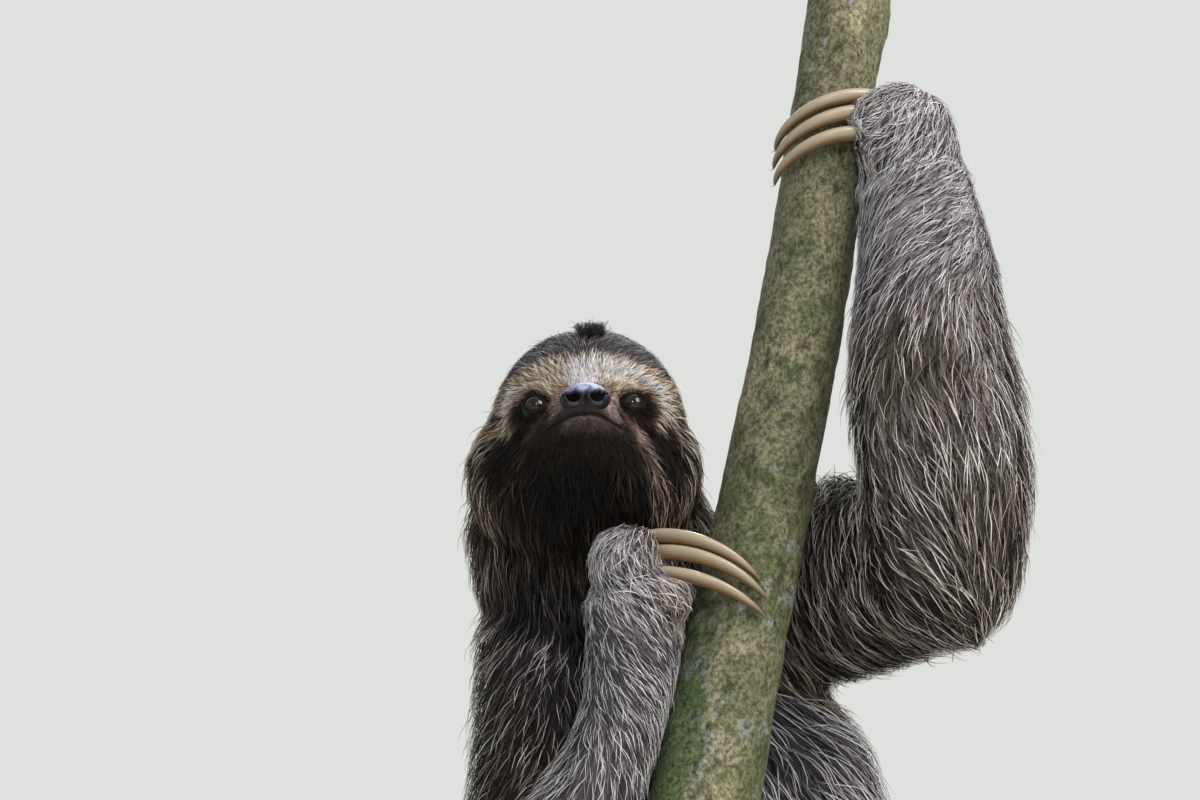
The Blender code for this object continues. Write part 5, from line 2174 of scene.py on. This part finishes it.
        root = pick(skin.surface.points)
        normal = unit(pick(skin.normals))
        depth = pick(skin.depth)
        count = len(root)
        length = pick(self.lengths) * random.uniform(0.72, 1.2, count)
        level = random.random(count)
        height = depth * (patch.lift[0] + (patch.lift[1] - patch.lift[0]) * level)
        stray = random.random(count) < self.stray_share
        height = np.where(stray, height * 1.35, height)
        turn = random.normal(0.0, patch.wander, count) * np.where(stray, 1.8, 1.0)
        phase = random.uniform(0.0, 2.0 * np.pi, count)
        place = root - normal * self.sink_mm * MM
        free = smooth(normal[:, 2], -0.25, -0.85) * smooth(length, 0.012, 0.024)
        steps = 2 * patch.rings
        path = [place]
        for k in range(1, steps + 1):
            t = k / steps
            near = self.field.nearest(place)
            out = skin.normals[near]
            way = self.flow[near]
            above = dot(place - skin.surface.points[near], out)
            goal = height * (1.0 - (1.0 - t) ** 1.8)
            step = length / steps
            climb = np.clip((goal - above) / step, -0.8, 0.9) + 1.5 * patch.upright
            way = way * (1.0 - patch.upright)
            bend = turn + 0.16 * np.sin(phase + 5.0 * t)
            turned = way + bend[:, None] * np.cross(out, self.flow[near]) + climb[:, None] * out
            hang = patch.droop * t + 0.45 * free * t
            turned = turned - hang[:, None] * UP
            place = place + unit(turned) * step[:, None]
            path.append(place)
        path = np.stack(path, axis=1)
        path = self.clumped(path, patch, np.where(stray, 0.1, 1.0))
        path = self.kept_out(path)
        tone, wide = self.lock_tones(patch, root, skin.labels[corners[:, 0]], level, random)
        width = self.widths(length) * wide * patch.thick
        spots = np.einsum("nk,nkx->nx", weights, self.skin_uvs[face])
        return self.tubes(path[:, ::2], normal, width, tone, spots, patch.rings)

    def clumped(self, path: Array, patch: CoatPatch, drawn: Array) -> Array:
        """Draws the locks of each cell of skin towards their mean, most at their tips.

        Args:
            path: The locks' points.
            patch: The piece of coat.
            drawn: How far each lock takes part, from 0 to 1.

        Returns:
            The drawn points.
        """
        spread = np.stack([noise(path[:, 0], 0.012, 71 + i) for i in range(3)], axis=1)
        cell = np.floor((path[:, 0] + 0.003 * spread) / (patch.clump_mm * MM)).astype(np.int64)
        _, group = np.unique(cell, axis=0, return_inverse=True)
        group = group.reshape(-1)
        count = np.bincount(group)
        flat = path.reshape(len(path), -1)
        mean = np.stack([np.bincount(group, flat[:, k]) / count for k in range(flat.shape[1])], axis=1)
        share = patch.clump * np.linspace(0.0, 1.0, path.shape[1]) ** 1.4
        share = (share[None, :] * drawn[:, None])[..., None]
        return path + (mean[group].reshape(path.shape) - path) * share

    def kept_out(self, path: Array) -> Array:
        """Keeps the locks off the perch and clear of the eyes.

        Args:
            path: The locks' points.

        Returns:
            The moved points.
        """
        path = self.log.keep_off(path, 0.0006)
        face = FaceShape(self.skin.head)
        local = self.skin.head.local(path)
        across, over, out = face.eyes(local.reshape(-1, 3))
        round_it = np.hypot(across, over)
        front = (out > -0.002) & (round_it < self.lid_clear)
        if not front.any():
            return path
        flat = local.reshape(-1, 3)
        away = (flat - np.array(face.eye_place) * fold(flat)) * [1.0, 0.0, 1.0]
        push = (self.lid_clear / np.maximum(round_it, 0.05) - 1.0)[:, None] * away
        flat = np.where(front[:, None], flat + push, flat)
        return self.skin.head.world(flat).reshape(path.shape)

    def lock_tones(
        self, patch: CoatPatch, root: Array, labels: Array, level: Array, random: np.random.Generator
    ) -> tuple[Array, Array]:
        """Each lock's colour and relative width.

        The marking's colour is varied by cells of skin and by lock. The locks that lie deepest
        are made dark and the outer ones pale, as painted shade within the coat; one in five is
        bleached, and one in four of the body's and one in seven of the face's are dark.

        Args:
            patch: The piece of coat.
            root: The locks' roots.
            labels: The part that each is on.
            level: Each lock's height in the coat, from 0 to 1.
            random: Where chance comes from.

        Returns:
            Linear colours, and widths around 1.
        """
        tone = self.marks.at(root, labels)
        region = fractal(root, 0.009, 91)
        spread, least, shade = (0.25, 0.86, 0.4) if patch.face_only else (0.42, 0.73, 0.22)
        factor = np.exp(spread * random.normal(size=len(root)) + 0.22 * region)
        # Painted shade: the deeper a lock lies in the coat, the darker it is made.
        rise = 0.75 + 0.9 * level if patch.face_only else 0.05 + 2.3 * level**3.2
        factor = factor * rise * (1.0 - 0.94 * patch.upright)
        kind = random.random(len(root))
        pale = kind < self.bleached_share
        factor = factor * np.where(pale, 1.5, 1.0) * np.where(kind > least, shade, 1.0)
        share = 0.22 * smooth(tone.mean(axis=1), 0.02, 0.16)
        tone = np.where(pale[:, None], mixed(tone, self.bleached, share) * self.cool, tone)
        tone = tone * factor[:, None]
        wide = random.uniform(0.7, 1.2, len(root)) * (0.85 + 0.3 * level)
        return np.clip(tone, 0.002, 0.85), wide

    def tubes(
        self, path: Array, normal: Array, width: Array, tone: Array, spots: Array, rings: int
    ) -> Surface:
        """Gives each path its body: rings of three points that shrink to the tip.

        A ring at share t has half the lock's width times (1 - t^2.2), and is flattened against
        the skin. The root's ring is closed by one face and the last meets the tip.

        Args:
            path: Each lock's points, from root to tip.
            normal: The skin's normal at each root.
            width: Each lock's width.
            tone: Each lock's linear colour.
            spots: Each root's place on the skin's bake map.
            rings: Rings in a lock.

        Returns:
            All the locks as one surface, with tones and bake places.
        """
        count = len(path)
        along = unit(np.gradient(path, axis=1))
        side = unit(np.cross(along, normal[:, None, :]))
        over = np.cross(along, side)
        t = np.arange(rings) / rings
        half = 0.5 * width[:, None] * (1.0 - t**2.2)[None, :] * np.where(t == 0.0, 0.8, 1.0)
        angle = np.pi / 2.0 + 2.0 * np.pi * np.arange(3) / 3.0
        reach = side[:, :rings, None, :] * np.cos(angle)[:, None]
        reach = reach + 0.7 * over[:, :rings, None, :] * np.sin(angle)[:, None]
        loops = path[:, :rings, None, :] + reach * half[:, :, None, None]
        points = np.concatenate([loops.reshape(count, -1, 3), path[:, -1:, :]], axis=1)
        quads = grid_faces(rings, 3)
        tip = 3 * rings
        ends = [[2, 1, 0]] + [[tip - 3 + k, tip - 3 + (k + 1) % 3, tip] for k in range(3)]
        one = np.concatenate([quads[:, [0, 1, 2]], quads[:, [0, 2, 3]], np.array(ends)])
        faces = (one[None] + np.arange(count)[:, None, None] * (tip + 1)).reshape(-1, 3)
        # Painted shade: each lock darkens towards its root, deep in the coat, and is lightest at its tip.
        shade = np.concatenate([np.repeat(0.22 + 0.96 * t, 3), [1.22]])
        tones = tone[:, None, :] * shade[None, :, None]
        level = np.concatenate([np.repeat(t, 3), [1.0]]) - 0.5
        lateral = np.concatenate([np.tile([0.0, -0.5, 0.5], rings), [0.0]])
        patch = np.stack([lateral, level], axis=1) * self.patch_width
        uvs = (spots[:, None, :] + patch[None]).reshape(-1, 2)
        return Surface(points.reshape(-1, 3), faces, tones.reshape(-1, 3), np.clip(uvs, 0.0, 1.0))

    def build(self, finish: Material) -> None:
        """Makes every piece of the coat."""
        self.field = NearField(self.skin.surface.points, 0.0035, 6)
        for patch in self.patches:
            piece = make_object(patch.name, self.grow(patch), finish)
            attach(piece, BODY)
            LOG.info("%s: %d locks, %d faces", patch.name, patch.locks, len(piece.data.polygons))


# ---------------------------------------------------------------- the studio
@dataclass
class Studio:
    """A plain pale floor, a pale room and soft lights, with the camera in front, low and tilted up."""

    target: Spot = (-0.04, -0.045, 0.59)
    distance: float = 2.1
    tilt: float = math.radians(15.0)
    view_width: float = 1200.0 / 2150.0
    floor_side: float = 6.0
    room: str = "#dfe1de"
    above: float = 1.1
    below: float = 0.12
    bright_way: Spot = (0.0, 0.35, 0.93)

    def camera(self) -> None:
        """A long lens whose frame is the view width at the target."""
        lens = bpy.data.cameras.new("camera")
        lens.lens = lens.sensor_width * self.distance / self.view_width
        seen = bpy.data.objects.new("camera", lens)
        ahead = np.array([0.0, math.cos(self.tilt), math.sin(self.tilt)])
        seen.location = np.array(self.target) - self.distance * ahead
        seen.rotation_euler = (math.pi / 2.0 + self.tilt, 0.0, 0.0)
        bpy.context.scene.collection.objects.link(seen)
        bpy.context.scene.camera = seen

    def light(self, name: str, place: Spot, side: float, watts: float, colour: str) -> None:
        """One square soft light, turned to the middle of the animal.

        Args:
            name: The lamp's name.
            place: Where it stands.
            side: The side of its square.
            watts: Its power.
            colour: Its hex colour.
        """
        lamp = bpy.data.lights.new(name, "AREA")
        lamp.shape = "SQUARE"
        lamp.size = side
        lamp.energy = watts
        lamp.color = linear(colour)
        held = bpy.data.objects.new(name, lamp)
        way = np.array([0.0, 0.0, 0.5]) - np.array(place)
        held.location = place
        held.rotation_euler = (math.acos(-unit(way)[2]), 0.0, math.atan2(-way[0], way[1]))
        bpy.context.scene.collection.objects.link(held)

    def room_light(self) -> None:
        """A pale room, which lights the animal from above more than from below."""
        world = bpy.data.worlds.new("pale_room")
        world.use_nodes = True
        tree = world.node_tree
        seen = tree.nodes["Background"]
        seen.inputs["Color"].default_value = rgba(self.room)
        way = add_node(tree, "TexCoord").outputs["Generated"]
        rise = add_node(tree, "VectorMath", {1: self.bright_way}, {0: way}, operation="DOT_PRODUCT")
        spread = {"From Min": -0.8, "From Max": 0.9, "To Min": self.below, "To Max": self.above}
        level = add_node(tree, "MapRange", spread, {"Value": rise.outputs["Value"]})
        links = {"Strength": level.outputs["Result"]}
        glow = add_node(tree, "Background", {"Color": rgba(self.room)}, links)
        direct = add_node(tree, "LightPath").outputs["Is Camera Ray"]
        links = {0: direct, 1: glow.outputs["Background"], 2: seen.outputs["Background"]}
        shown = add_node(tree, "MixShader", None, links)
        tree.links.new(shown.outputs["Shader"], tree.nodes["World Output"].inputs["Surface"])
        bpy.context.scene.world = world
        bpy.context.scene.view_settings.view_transform = "Standard"

    def build(self) -> None:
        """Sets up the floor, the room's light, the lamps and the camera."""
        half = self.floor_side / 2.0
        corners = half * np.array([[-1.0, -1.0, 0.0], [1.0, -1.0, 0.0], [1.0, 1.0, 0.0], [-1.0, 1.0, 0.0]])
        floor = make_object("floor", Surface(corners, np.array([[0, 1, 2, 3]])), FloorFinish().build())
        self.room_light()
        self.light("key", (1.1, -0.9, 1.5), 0.8, 30.0, "#fff6f2")
        self.light("fill", (-1.3, -1.0, 0.9), 1.0, 2.5, "#eef4ff")
        self.light("back", (0.2, 1.3, 1.9), 0.9, 30.0, "#f4ffee")
        self.light("window", (0.15, -1.9, 1.2), 0.3, 12.0, "#ffffff")
        self.camera()


def main() -> None:
    """Builds the looks piece by piece."""
    logging.basicConfig(level=logging.INFO, format="%(name)s: %(message)s")
    head = HeadFrame().find()
    marks = Markings(head)
    log = LogShape.find()
    Studio().build()
    skin = Skin(head, marks)
    skin.build()
    hide = skin.dress(HideFinish().build())
    lie = Lie(skin)
    flow, lengths = lie.lay()
    coat = Coat(skin, marks, log, flow, lengths, skin.unwrap(hide))
    coat.build(HairFinish().build())
    Eyes(head).build(EyeFinish().build())
    Nose(head).build(NoseFinish().build())
    Claws().build(HornFinish().build())
    Perch(log).build(BarkFinish().build())
    Stand().build(StainedWoodFinish().build(), SteelFinish().build())


if __name__ == "__main__":
    main()
